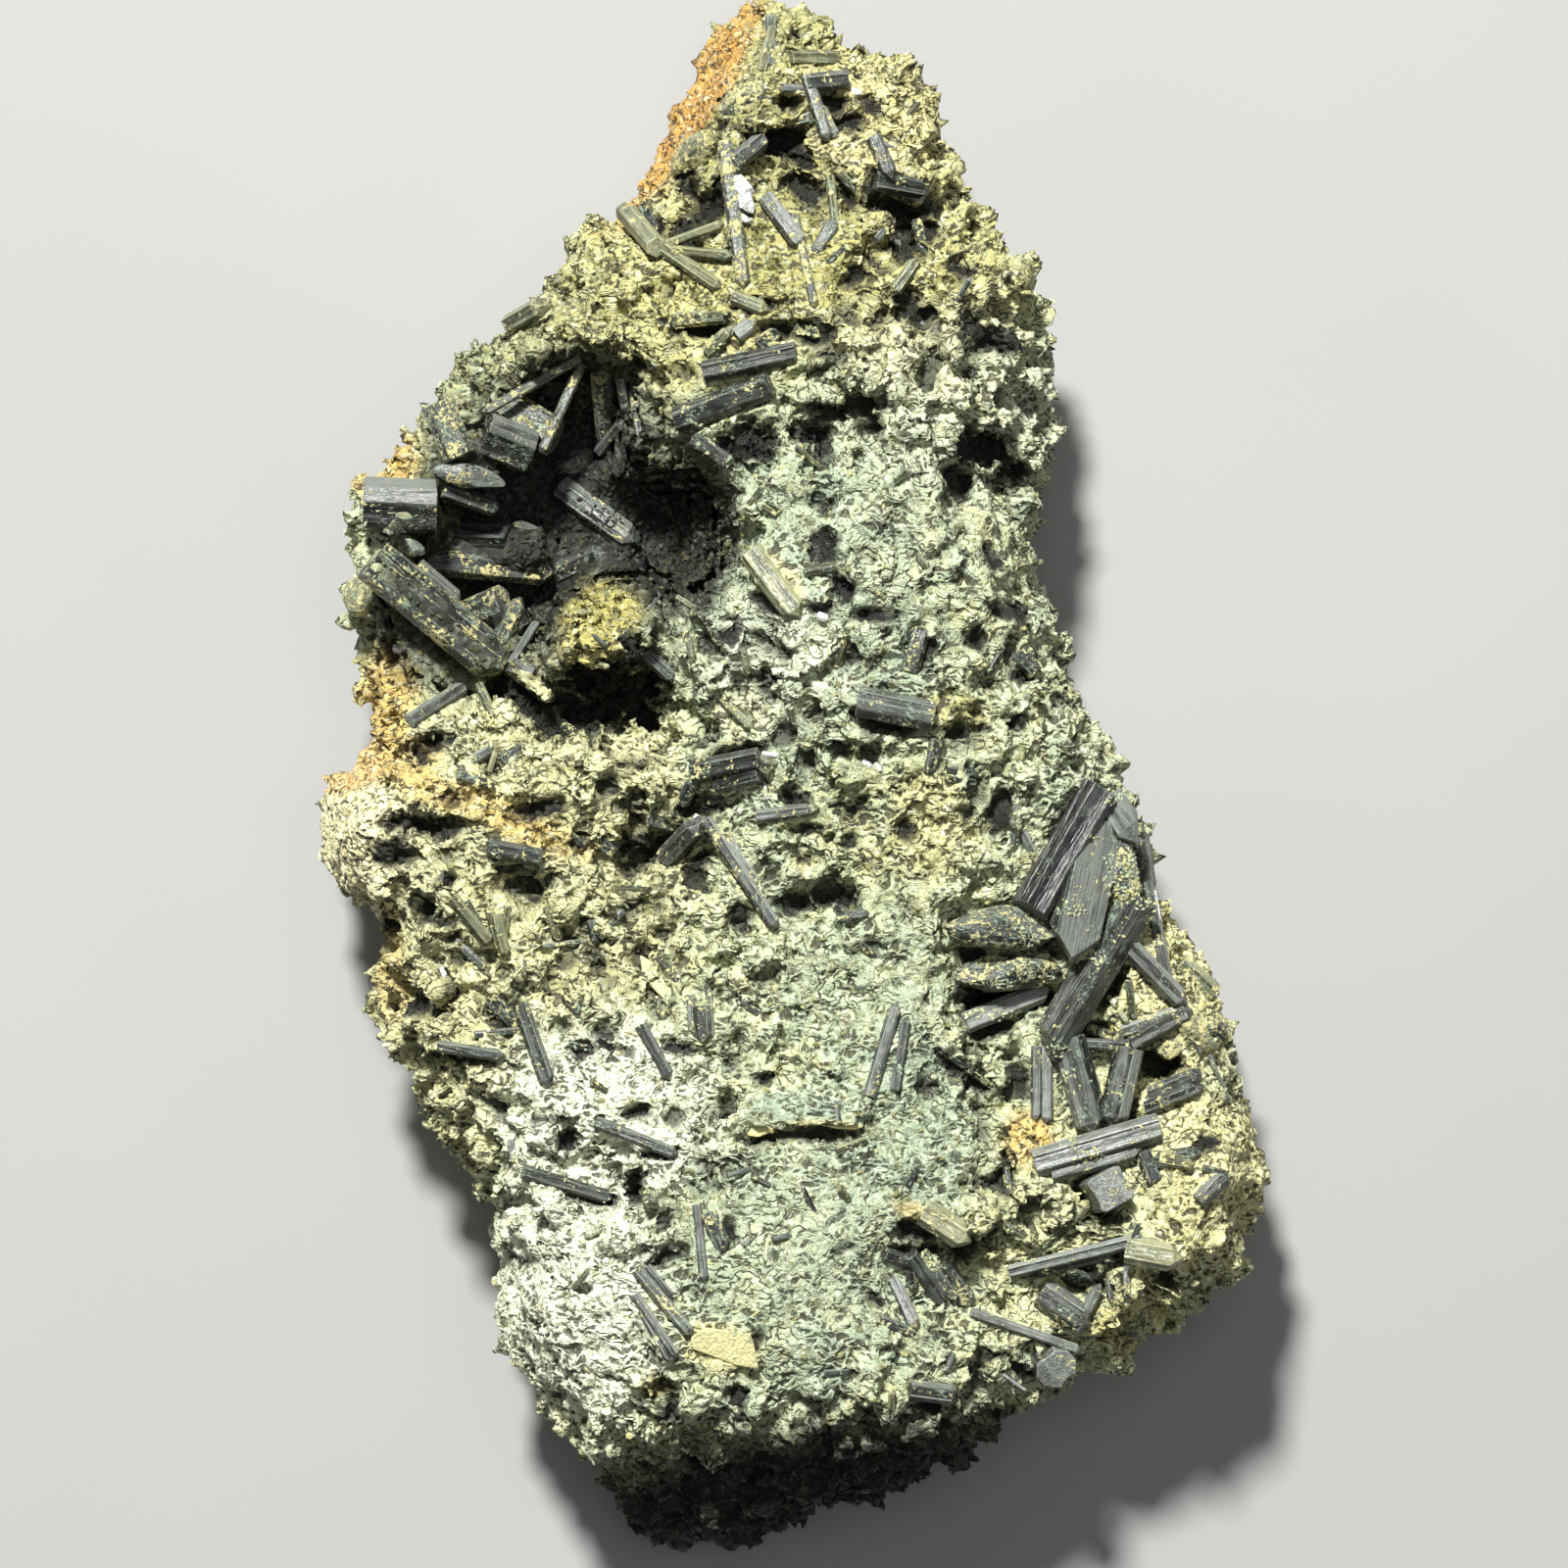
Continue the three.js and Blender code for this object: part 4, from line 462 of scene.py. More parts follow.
# Hollows of the face: middle, half sizes, turn in degrees and depth.
HOLLOWS = [
    ((-9.5, 53.6), (1.8, 1.1), -20, 2.4), ((-12, 51.6), (1.2, 0.7), 0, 2),
    ((0.6, 65.6), (1, 0.9), 0, 2.2), ((4.2, 66), (0.9, 1), 0, 2), ((0.4, 61.5), (1.2, 2), 0, 2.4),
    ((-6.5, 57), (0.8, 1.6), 0, 2), ((-9.4, 57.4), (1, 0.8), 0, 2), ((2.2, 57), (1.5, 1), 0, 2.2),
    ((11.5, 56.6), (3, 1), -5, 2.6), ((13.2, 53), (1.6, 2.2), 0, 2.4),
    ((-2.8, 45.8), (2.2, 0.6), 0, 1.8), ((-6.5, 63.4), (1.2, 0.6), 30, 1.6),
    ((6, 57), (0.6, 1.4), 20, 1.6), ((-0.8, 43.4), (1.6, 0.8), 0, 1.8),
   
    ((0.5, 65.7), (0.9, 0.8), 0, 2), ((4.4, 65.9), (1.3, 0.8), 0, 2),
    ((6.3, 63.7), (1.5, 1.1), 0, 2.5), ((8.2, 65.4), (1.2, 0.7), -30, 1.4),
    ((1.2, 60.6), (1.1, 1.1), 0, 2.2), ((-3, 62.3), (0.9, 0.8), 0, 1.5),
    ((-7.6, 55.4), (1.8, 1.5), 0, 2.5), ((-9.8, 58.8), (1.3, 0.7), 0, 1.3),
    ((-13, 54.2), (1.9, 0.9), -45, 2), ((-9.8, 51.8), (1.8, 0.8), -25, 2.2),
    ((1.6, 57.2), (1.5, 1.2), 0, 1.8), ((11, 55.6), (2.9, 1), -15, 3),
    ((14.2, 55.6), (1.6, 0.7), 0, 1.8), ((12, 52.6), (1.8, 2), 0, 2.5),
    ((-8, 43.7), (2.6, 0.8), 8, 1.8), ((2.5, 43.2), (2.4, 0.9), 0, 1.8),
    ((19.6, 42.8), (2.8, 1.5), -20, 1.6), ((12.2, 44.8), (1.6, 0.9), -20, 1.8),
    ((11.4, 46.4), (1.5, 0.9), -25, 1.6), ((7, 48.6), (1.2, 0.8), 20, 1.2),
    ((17, 49.6), (1.6, 0.8), 0, 1.1), ((8.6, 57.4), (0.8, 1.4), -20, 1.4),
    ((-3.4, 32.4), (2.6, 1.9), 0, 2.4), ((2.6, 33.4), (2, 1), -5, 1.8),
    ((6.4, 36), (3.2, 0.7), 5, 1.5), ((7.9, 34), (1.1, 1.3), 0, 1.6),
    ((18.8, 32.3), (3.4, 1.3), 5, 3), ((16.6, 29), (1.4, 1.6), -30, 2.4),
    ((22, 30.2), (1.5, 1), 0, 1.6), ((3.5, 26.7), (1.1, 0.6), 0, 1),
    ((3.8, 22.4), (1.2, 1.8), 0, 1.5), ((-1.6, 17), (1.8, 0.7), -35, 1.4),
    ((3.4, 16.6), (1.2, 0.6), 0, 1.2), ((5.6, 18.4), (0.9, 1.4), 0, 1.2),
    ((8.6, 16), (2.2, 0.5), 0, 1.2), ((12.8, 12.9), (1.4, 2), 10, 1.2),
    ((18.6, 13.8), (0.9, 0.9), 0, 1.4), ((20, 21.6), (0.8, 1.6), 0, 1.2),
    ((21.8, 16.4), (1.9, 0.9), -20, 1.4), ((23.3, 10.2), (1.4, 0.8), -30, 1.6),
    ((9.6, 5.8), (3, 0.8), -12, 1.7), ((16.6, 5.1), (2.2, 0.5), 0, 1.1),
    ((22.6, 6.2), (0.9, 0.5), 0, 1), ((-5.6, 14.4), (1.5, 0.5), 15, 1.2),
    ((-13.6, 12), (2.6, 1), -38, 1.6), ((-17, 9.6), (4.5, 2), -10, 2.6),
    ((-33, 4.2), (2.6, 1), 10, 2), ((-25.4, 8.8), (3.6, 1.5), -20, 3),
    ((-20.5, 6.8), (4.6, 2.2), -8, 3), ((-15.6, 7.4), (2.6, 1), -20, 2), ((-34.6, -4), (3.8, 1), -5, 1.8),
    ((-38, -6.8), (2, 1.5), 0, 1), ((-23, -2.4), (2.3, 0.8), 0, 1.8),
    ((-12.8, -6), (2.8, 1.5), -5, 2.6), ((-8.2, -7.6), (1.6, 0.8), 40, 1.8),
    ((-19.6, -5.4), (0.8, 0.8), 0, 1.2), ((-32.3, -9.2), (0.7, 0.5), 0, 1.2),
    ((-34.5, -12), (0.8, 1.5), 0, 1.4), ((-32.6, -13.3), (1.8, 0.5), 0, 1.2),
    ((-31.8, -14.9), (1, 0.5), 0, 1.2), ((-39.5, -13.2), (2.2, 1), -20, 1.8),
    ((-26, -8.2), (2.2, 0.35), -4, 1), ((-26.4, -22.4), (1.6, 1.6), 0, 1.8),
    ((-31, -26.4), (3.4, 0.5), -5, 1.4), ((-35.5, -21), (1.1, 1), 0, 1.2),
    ((-10, -25.2), (1.5, 0.7), -10, 1.6), ((-19.2, -25.4), (1.4, 0.6), 10, 1.4),
    ((1.2, -11.4), (1.7, 0.9), 0, 2.6), ((5.6, -10.9), (1.7, 0.8), -10, 2.4),
    ((1, -1.4), (1.6, 0.6), -10, 1.6), ((-4, 3.1), (2.8, 0.6), 10, 1.4),
    ((-8.2, -2.4), (2, 1), 0, 1.8), ((2.2, -4.3), (2.2, 0.4), 5, 1),
    ((17.6, -2.6), (1, 0.5), 0, 1.6), ((20.8, -3.2), (1.1, 1.7), 0, 1),
    ((11.6, -4.4), (1, 1), 0, 1.3), ((6.2, -5.6), (0.8, 0.5), 0, 1.2),
    ((-4.3, -12.6), (1, 1.5), 0, 1.4), ((17.6, -16.4), (1.5, 0.8), 0, 2),
    ((22, -20.5), (4.6, 1), 3, 2.6), ((20, -23.6), (2.6, 0.8), 15, 1.8),
    ((29.4, -24.3), (1.8, 1.1), 0, 2.4), ((36.1, -27.1), (2.1, 1.2), 0, 2.2),
    ((31.6, -19.6), (0.7, 2.2), -35, 1.8), ((17.4, -27.8), (3.6, 0.6), -37, 1.2),
    ((22.6, -28.4), (1, 2), 10, 1.4), ((33, -31.4), (0.8, 1.2), 0, 1.6),
    ((21.4, -37.6), (0.7, 2.2), 0, 1.2), ((12.6, -42.8), (1.9, 1), -10, 1.8),
    ((12.6, -44.6), (2.8, 0.45), 0, 1.5), ((17.4, -44.6), (1.8, 1.2), 0, 1.2),
    ((33, -45), (2.4, 0.5), 18, 1.3), ((29, -47.8), (2, 1.2), -15, 1.8),
    ((36.8, -47.2), (0.6, 0.8), 30, 1.4), ((19.6, -54.4), (1.2, 0.5), -30, 1.2),
    ((22.6, -56.2), (1.6, 0.5), -35, 1.4), ((21.8, -61.6), (1.2, 0.8), 0, 1.4),
    ((13.8, -59.4), (2.2, 0.5), 5, 1.2), ((30.2, -41.4), (2, 0.8), -10, 1.4),
    ((-20.8, -34), (1.4, 0.8), 35, 2), ((-13.8, -31.2), (1.1, 0.5), 10, 1.6),
    ((-22.5, -32.2), (2.4, 0.35), 3, 0.9), ((-12.2, -35.3), (1.8, 0.5), 5, 1.8),
    ((-16.8, -32.6), (1.2, 0.4), -25, 1.2), ((-14.4, -38.4), (0.8, 1.7), 0, 2.2),
    ((-18.2, -39.6), (2.4, 0.6), -12, 1.6), ((-11.9, -41.4), (0.9, 0.6), -20, 1.2),
    ((-11.6, -45.2), (1.5, 0.5), 38, 1.3), ((-4.3, -58.4), (0.9, 0.8), 0, 1.2),
    ((-11, -60.4), (1, 0.6), 0, 0.8), ((-1.8, -28.2), (0.9, 0.5), 0, 1.2),
    ((-5.4, -42.6), (0.6, 1.4), 0, 1), ((-26, -45.8), (1, 0.35), -8, 0.8),
    ((-22, -59.3), (0.8, 0.4), 0, 0.8), ((-2.6, -53.2), (0.35, 1), -10, 1),
    ((5.6, -44.5), (1.2, 0.3), 15, 0.7), ((8.9, -49.2), (1, 0.4), -40, 0.8),
    ((1.8, -33.4), (5.4, 0.6), 3, 1.7), ((40.5, -34.5), (1.6, 0.8), 30, 0.9),
]

# Where the face is smooth and finely grained: middle, half sizes, turn and share.
FLATS = [
    ((-42, -4), (5, 8), 0, 0.75), ((2, -46), (10, 13), 0, 0.85), ((1, -31), (6, 3), 0, 0.9),
    ((-6, -53.6), (5, 3), 0, 0.8), ((13, -35), (6, 6), 0, 0.6), ((-22, -52), (8, 10), 0, 0.7),
    ((14, 20), (11, 12), 0, 0.5), ((27, -5), (5, 6), 0, 0.5), ((-16, -28), (8, 3), 0, 0.6),
    ((-9, 67), (5, 12), -22, 0.7), ((-2, -12), (6, 5), 0, 0.3), ((0, 22), (6, 10), 0, 0.5),
    ((12, -8), (7, 10), 0, 0.4), ((8, -22), (10, 8), 0, 0.5), ((42, -30), (6, 16), 0, 0.6),
]

# Where grains stick to crystals: middle and half sizes.
CRUSTS = [
    ((32.5, -8.6), (1.9, 3)), ((23.6, -14), (2, 1.4)), ((23, -17.6), (2.6, 0.8)),
    ((28, -12.2), (1.8, 0.8)), ((31.6, -1.4), (1.2, 0.7)), ((34.4, -11), (1.3, 1.6)),
    ((21, -22.2), (3.4, 0.7)), ((29.6, -16.8), (1.4, 0.8)), ((-18, 26), (2.4, 1.2)),
    ((14.2, 7), (0.9, 1.4)), ((-36, 19.6), (1.6, 1)), ((26.5, -25.4), (1.4, 0.8)),
    ((-27.6, -7), (1, 0.8)), ((-30, 31.4), (2, 1.2)), ((29, -35.6), (2.2, 0.6)),
]

# Colours of the ground, as sRGB bytes.
GROUND_COLOURS = {
    "pale": (193, 202, 163),
    "chalk": (235, 240, 212),
    "grey": (148, 167, 147),
    "yellow": (198, 188, 110),
    "straw": (222, 214, 152),
    "cream": (232, 220, 160),
    "pith": (244, 236, 186),
    "ochre": (222, 188, 106),
    "orange": (210, 158, 78),
    "brown": (112, 92, 56),
    "olive": (120, 118, 64),
    # The pocket's dark lining, deepened with painted shade.
    "dark": (17, 21, 15),
    # Painted shade in the crevices between the wrinkles.
    "gap": (46, 43, 27),
    # Painted shade on the foot, which turns under, away from the light.
    "foot": (70, 73, 58),
}

# Where the ground is tinted: middle, half sizes, turn in degrees, colour and share.
TINTS = [
    ((3, 60), (26, 26), 0, "yellow", 0.6),
    ((-4, 46), (26, 9), 0, "yellow", 0.4),
    ((-1, 60), (10, 17), 0, "olive", 0.48),
    # Painted light: a paler shoulder, where the face slopes away from the key light.
    ((15, 37), (14, 9), 0, "chalk", 0.4),
    ((8, 64), (8, 7), -40, "cream", 0.5),
    ((-27, 40), (12, 9), 30, "olive", 0.4),
    ((-22, -6), (16, 22), 0, "straw", 0.5),
    ((-34, -28), (9, 16), 20, "straw", 0.5),
    ((-25, -58), (7, 9), 0, "straw", 0.6),
    ((39, -18), (7, 14), -20, "straw", 0.75),
    ((42, -38), (6, 10), 0, "straw", 0.7),
    ((29, -42), (13, 14), 0, "straw", 0.4),
    ((34, -52.5), (5, 4), 0, "yellow", 0.5),
    ((2, 20), (14, 22), 0, "grey", 0.45),
    ((14, -4), (4, 5), 0, "straw", 0.5),
    ((-4, 7), (4, 2.4), 0, "straw", 0.5),
    ((16, 7), (4, 2), 0, "yellow", 0.6),
    ((8, -20), (8, 9), 0, "grey", 0.4),
    ((-17, -31), (11, 9), 0, "chalk", 0.95),
    ((-20, -48), (10, 14), 0, "chalk", 0.95),
    ((0, -48), (13, 13), 0, "grey", 0.45),
    ((-41, -5), (6, 8), 0, "pith", 0.9),
    ((12, -34), (8, 9), 0, "grey", 0.6),
    ((-1, 12), (7, 7), 0, "chalk", 0.4),
    ((10, -4), (8, 7), 0, "yellow", 0.25),
    ((-9.4, 66), (2.9, 13), -31, "orange", 0.9),
    ((-38.5, 31), (3.6, 4), 0, "ochre", 0.9),
    ((-38.5, 8.5), (3.4, 5), 0, "ochre", 0.9),
    ((-41, 1.4), (4.5, 2.2), 20, "orange", 0.7),
    ((-30, -2), (9, 1.8), -20, "ochre", 0.6),
    ((-23, -5), (5, 2), -18, "ochre", 0.5),
    ((-36, 3), (4, 2.4), -30, "ochre", 0.6),
    ((-38, -18), (2, 6), 0, "ochre", 0.5),
    ((23.6, -34.2), (2.6, 2.8), 0, "ochre", 0.85),
    ((36, -45.2), (3, 1.8), -12, "cream", 0.9),
    ((-5.8, -53.8), (4, 2.6), -10, "straw", 0.8),
    ((4, -32.6), (4.4, 0.7), -6, "cream", 0.9),
    ((-1.5, -33.4), (2.2, 0.6), 0, "cream", 0.9),
    ((1, -30.8), (4.6, 1.5), 0, "grey", 0.8),
    ((14, -41.6), (4, 1.2), -25, "ochre", 0.5),
    ((-12.2, -57.6), (2, 1.2), 0, "yellow", 0.8),
    ((-0.6, 19.2), (3.2, 2), -50, "straw", 0.9),
    # The pocket's dark lining, deepened with painted shade in the pocket.
    ((-22, 25), (14, 13), 0, "dark", 1),
    ((-32, 17), (8, 8), -38, "dark", 0.85),
    ((-20, 37), (6, 5), 0, "dark", 0.9),
    ((-9.5, 24), (5, 8), 0, "dark", 0.9),
    ((-17.6, 15.2), (4.2, 5), -15, "yellow", 0.9),
    # Painted shade on the foot, which turns under, away from the light.
    ((4, -70), (30, 8.5), 8, "foot", 0.95),
]


class RockSettings(bpy.types.PropertyGroup):
    """Sizes of the rock and its grains."""

    voxel: bpy.props.FloatProperty(
        name="Facet size", description="Size of the rock's own facets at the sides",
        default=0.0011, min=0.0005, unit="LENGTH")
    sink: bpy.props.FloatProperty(
        name="Sink", description="How far the rock lies below its grains",
        default=0.00015, unit="LENGTH")
    lump_rise: bpy.props.FloatProperty(
        name="Lump rise", description="How far the rock's lumps stand out",
        default=0.0011, unit="LENGTH")
    knot_rise: bpy.props.FloatProperty(
        name="Knot rise", description="How far the knots on the lumps stand out",
        default=0.0011, unit="LENGTH")
    wrinkle_depth: bpy.props.FloatProperty(
        name="Wrinkle depth", description="How deep the gaps between the wrinkles are",
        default=0.00055, unit="LENGTH")
    hole_depth: bpy.props.FloatProperty(
        name="Hole depth", description="How deep the scattered holes are",
        default=0.0014, unit="LENGTH")
    spacing: bpy.props.FloatProperty(
        name="Grain spacing", description="Least distance between two grains",
        default=0.0012, min=0.0003, unit="LENGTH")
    grain_size: bpy.props.FloatProperty(
        name="Grain size", description="Scale of the grains",
        default=1.0, min=0.1)
    strays: bpy.props.FloatProperty(
        name="Stray crystals", description="How many loose crystals lie in a square centimetre",
        default=1.6, min=0)
    seed: bpy.props.IntProperty(
        name="Pattern", description="Another number gives another scatter", default=4)


class CrystalSettings(bpy.types.PropertyGroup):
    """Looks of the grown crystals."""

    groove_pitch: bpy.props.FloatProperty(
        name="Groove pitch", description="Distance between grooves, in millimetres",
        default=0.42, min=0.1)
    groove_depth: bpy.props.FloatProperty(
        name="Groove depth", description="Depth of a groove as a share of the thickness",
        default=0.09, min=0, max=0.5, subtype="FACTOR")
    # dark and light are the ends of the dark crystals' painted light and shade.
    dark: bpy.props.FloatVectorProperty(
        name="Dark", description="Colour of the darkest faces", subtype="COLOR",
        default=(0.008, 0.0095, 0.0085), size=3, min=0, max=1)
    light: bpy.props.FloatVectorProperty(
        name="Light", description="Colour of the lightest faces", subtype="COLOR",
        default=(0.2, 0.217, 0.196), size=3, min=0, max=1)
    roughness: bpy.props.FloatProperty(
        name="Roughness", description="Roughness of the crystal faces",
        default=0.28, min=0, max=1, subtype="FACTOR")


class StageSettings(bpy.types.PropertyGroup):
    """Camera, floor and lights."""

    lens: bpy.props.FloatProperty(
        name="Lens", description="Focal length in millimetres", default=200, min=20)
    view_width: bpy.props.FloatProperty(
        name="View width", description="How much of the face's level the picture shows",
        default=0.150, unit="LENGTH")
    face_level: bpy.props.FloatProperty(
        name="Face level", description="Height at which the view is that wide",
        default=0.034, unit="LENGTH")
    floor: bpy.props.FloatVectorProperty(
        name="Floor", description="Colour of the floor", subtype="COLOR",
        default=(0.36, 0.36, 0.355), size=3, min=0, max=1)
    key: bpy.props.FloatProperty(
        name="Key light", description="Power of the light from the tip's side", default=39,
        unit="POWER")
    overhead: bpy.props.FloatProperty(
        name="Overhead light", description="Power of the wide light above", default=4,
        unit="POWER")
    sky: bpy.props.FloatProperty(
        name="Sky", description="Strength of the even light from all round", default=0.11)


def drawn(x, y, z=0.0):
    """A place of the drawing in the frame's metres."""
    return Vector((x - DRAWING_CENTRE[0], y - DRAWING_CENTRE[1], z)) * MM


def linear(colour):
    """An sRGB colour in bytes as scene colour with alpha."""
    def channel(byte):
        c = byte / 255
        return c / 12.92 if c <= 0.04045 else ((c + 0.055) / 1.055) ** 2.4
    return (*[channel(byte) for byte in colour], 1.0)


# Objects and edit mode.

def deselect():
    """Object mode with nothing selected."""
    if bpy.context.mode != "OBJECT":
        bpy.ops.object.mode_set(mode="OBJECT")
    bpy.ops.object.select_all(action="DESELECT")


def take(obj):
    """Selects one object alone and makes it active."""
    deselect()
    obj.select_set(True)
    bpy.context.view_layer.objects.active = obj
    return obj


def edit(obj):
    take(obj)
    bpy.ops.object.mode_set(mode="EDIT")
    bpy.ops.mesh.select_all(action="SELECT")


def done():
    bpy.ops.object.mode_set(mode="OBJECT")


def apply_modifiers(obj):
    take(obj)
    for modifier in list(obj.modifiers):
        bpy.ops.object.modifier_apply(modifier=modifier.name)


def join(objects, name):
    """Joins objects into one piece with its place in its mesh."""
    deselect()
    for obj in objects:
        obj.select_set(True)
    bpy.context.view_layer.objects.active = objects[0]
    if len(objects) > 1:
        bpy.ops.object.join()
    piece = bpy.context.view_layer.objects.active
    piece.name = name
    piece.data.name = name
    return piece


def node_copy(node, name):
    """A merged copy of a node's mesh as a new object."""
    piece = bpy.data.objects.new(name, frame["nodes"][node].data.copy())
    bpy.context.scene.collection.objects.link(piece)
    piece.data.materials.clear()
    edit(piece)
    bpy.ops.mesh.remove_doubles(threshold=1e-6)
    done()
    return piece


def settle(piece, slot, *nodes):
    """Attaches a finished piece to the root and hides the nodes that it stands for. Its slot is not used.
    """
    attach(piece, "root")
    if nodes:
        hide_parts(*nodes)


# Materials.

class Wiring:
    """Adds and joins the nodes of one node tree."""

    def __init__(self, tree):
        self.tree = tree

    def add(self, kind, settings=None, **inputs):
        node = self.tree.nodes.new(kind)
        for name, value in (settings or {}).items():
            setattr(node, name, value)
        for name, value in inputs.items():
            self.feed(node, name.replace("_", " "), value)
        return node

    def feed(self, node, name, value):
        socket = node.inputs[int(name)] if name.isdigit() else node.inputs[name]
        if isinstance(value, bpy.types.NodeSocket):
            self.tree.links.new(value, socket)
        else:
            socket.default_value = value

    def math(self, operation, first, second=0.0, clamp=False):
        node = self.tree.nodes.new("ShaderNodeMath")
        node.operation = operation
        node.use_clamp = clamp
        self.feed(node, "0", first)
        self.feed(node, "1", second)
        return node.outputs[0]

    def mix(self, share, first, second, blend="MIX"):
        node = self.tree.nodes.new("ShaderNodeMix")
        node.data_type = "RGBA"
        node.blend_type = blend
        self.feed(node, "0", share)
        self.feed(node, "6", first)
        self.feed(node, "7", second)
        return node.outputs[2]

    def remap(self, value, low, high, new_low=0.0, new_high=1.0, smooth=True):
        node = self.tree.nodes.new("ShaderNodeMapRange")
        node.interpolation_type = "SMOOTHSTEP" if smooth else "LINEAR"
        self.feed(node, "0", value)
        for index, number in enumerate((low, high, new_low, new_high), 1):
            self.feed(node, str(index), number)
        return node.outputs[0]

    def noise(self, place, scale, detail=3.0, roughness=0.55):
        node = self.add("ShaderNodeTexNoise", Vector=place, Scale=scale, Detail=detail,
                        Roughness=roughness)
        return node.outputs["Fac"]

    def cells(self, place, scale):
        node = self.add("ShaderNodeTexVoronoi", Vector=place, Scale=scale)
        return node

    def attribute(self, name):
        return self.add("ShaderNodeAttribute", {"attribute_name": name})

    def object_place(self):
        return self.add("ShaderNodeTexCoord").outputs["Object"]

    def group(self, name, **inputs):
        node = self.tree.nodes.new("ShaderNodeGroup")
        node.node_tree = bpy.data.node_groups[name]
        for key, value in inputs.items():
            self.feed(node, key.replace("_", " "), value)
        return node


def new_group(name, inputs, outputs):
    """A shader node group with named sockets: (name, kind, default) rows."""
    tree = bpy.data.node_groups.new(name, "ShaderNodeTree")
    kinds = {"number": "NodeSocketFloat", "colour": "NodeSocketColor",
             "vector": "NodeSocketVector"}
    for label, kind, default in inputs:
        socket = tree.interface.new_socket(label, in_out="INPUT", socket_type=kinds[kind])
        if default is not None:
            socket.default_value = default
    for label, kind in outputs:
        tree.interface.new_socket(label, in_out="OUTPUT", socket_type=kinds[kind])
    wiring = Wiring(tree)
    start = tree.nodes.new("NodeGroupInput")
    end = tree.nodes.new("NodeGroupOutput")
    return wiring, start.outputs, end


def make_ground_tint():
    """The ground's colour from its place, from the tables of colours and tints. Its Shade is the
    painted shade of the pocket and the foot.
    """
    w, given, end = new_group("ground_tint", [("Ragged", "number", 0.5)],
                              [("Color", "colour"), ("Shade", "number")])
    place = w.object_place()
    broad = w.noise(place, 260.0, 4.0, 0.6)
    fine = w.noise(place, 900.0, 2.0, 0.5)
    ragged = w.math("MULTIPLY", w.math("SUBTRACT", broad, 0.5), 2.4)
    ragged = w.math("ADD", ragged, w.math("MULTIPLY", w.math("SUBTRACT", fine, 0.5), 1.2))
    ragged = w.math("MULTIPLY", ragged, given["Ragged"])
    colour = linear(GROUND_COLOURS["pale"])
    patch = w.remap(w.noise(place, 170.0, 3.0, 0.6), 0.48, 0.6)
    colour = w.mix(w.math("MULTIPLY", patch, 0.45), colour, linear(GROUND_COLOURS["grey"]))
    flecks = w.remap(w.noise(place, 420.0, 3.0, 0.6), 0.48, 0.66)
    colour = w.mix(w.math("MULTIPLY", flecks, 0.5), colour, linear(GROUND_COLOURS["straw"]))
    shade = 0.0
    for (x, y), (half_x, half_y), turn, name, share in TINTS:
        at = drawn(x, y)
        mapping = w.add("ShaderNodeMapping", {"vector_type": "TEXTURE"}, Vector=place,
                        Location=at, Rotation=(0, 0, math.radians(turn)),
                        Scale=(half_x * MM, half_y * MM, 1000.0))
        away = w.add("ShaderNodeVectorMath", {"operation": "LENGTH"})
        w.feed(away, "0", mapping.outputs[0])
        reach = w.math("ADD", away.outputs["Value"], ragged)
        mask = w.remap(reach, 1.3, 0.6, 0.0, share)
        colour = w.mix(mask, colour, linear(GROUND_COLOURS[name]))
        # The dark and foot tints are painted shade, kept as Shade for the finishes; other tints clear it.
        if name in ("dark", "foot"):
            shade = w.math("MAXIMUM", shade, mask)
        else:
            shade = w.math("MULTIPLY", shade, w.math("SUBTRACT", 1.0, mask))
    dirt = w.remap(w.noise(place, 520.0, 4.0, 0.7), 0.57, 0.7)
    colour = w.mix(w.math("MULTIPLY", dirt, 0.6), colour, linear(GROUND_COLOURS["brown"]))
    w.feed(end, "Color", colour)
    w.feed(end, "Shade", shade)


def wrinkles(w, place):
    """Worm-like ridges with gaps between, for a shader's or a geometry's nodes: 0 in a gap
    and 1 on a ridge."""
    wander = w.add("ShaderNodeTexNoise", Vector=place, Scale=420.0, Detail=2.0)
    shift = w.add("ShaderNodeVectorMath", {"operation": "SCALE"}, Scale=0.0024)
    w.feed(shift, "0", wander.outputs["Color"])
    moved = w.add("ShaderNodeVectorMath", {"operation": "ADD"})
    w.feed(moved, "0", place)
    w.feed(moved, "1", shift.outputs[0])
    squeeze = w.add("ShaderNodeVectorMath", {"operation": "MULTIPLY"})
    w.feed(squeeze, "0", moved.outputs[0])
    w.feed(squeeze, "1", (0.62, 1.15, 0.9))
    broad = w.noise(squeeze.outputs[0], 1120.0, 1.0, 0.5)
    away = w.math("ABSOLUTE", w.math("SUBTRACT", broad, 0.5))
    cobbles = w.remap(away, 0.0, 0.11)
    worms = w.remap(away, 0.13, 0.02)
    kind = w.remap(w.noise(place, 170.0, 2.0, 0.5), 0.43, 0.57)
    height = w.math("ADD", cobbles, w.math("MULTIPLY", kind, w.math("SUBTRACT", worms,
                                                                    cobbles)))
    fine = w.noise(moved.outputs[0], 2600.0, 1.0, 0.5)
    small = w.remap(w.math("ABSOLUTE", w.math("SUBTRACT", fine, 0.5)), 0.0, 0.11)
    return w.math("ADD", w.math("MULTIPLY", height, 0.74), w.math("MULTIPLY", small, 0.26))


def make_skin():
    """The wrinkles as they lie on the rock, from the place that its mesh keeps, with painted shade
    for the gaps between them.
    """
    w, _, end = new_group("skin", [], [("Height", "number"), ("Gap", "number")])
    place = w.attribute("skin_place").outputs["Vector"]
    height = wrinkles(w, place)
    w.feed(end, "Gap", w.remap(height, 0.72, 0.12))
    w.feed(end, "Height", w.math("ADD", height, w.math(
        "MULTIPLY", w.noise(place, 3600.0, 2.0, 0.6), 0.6)))


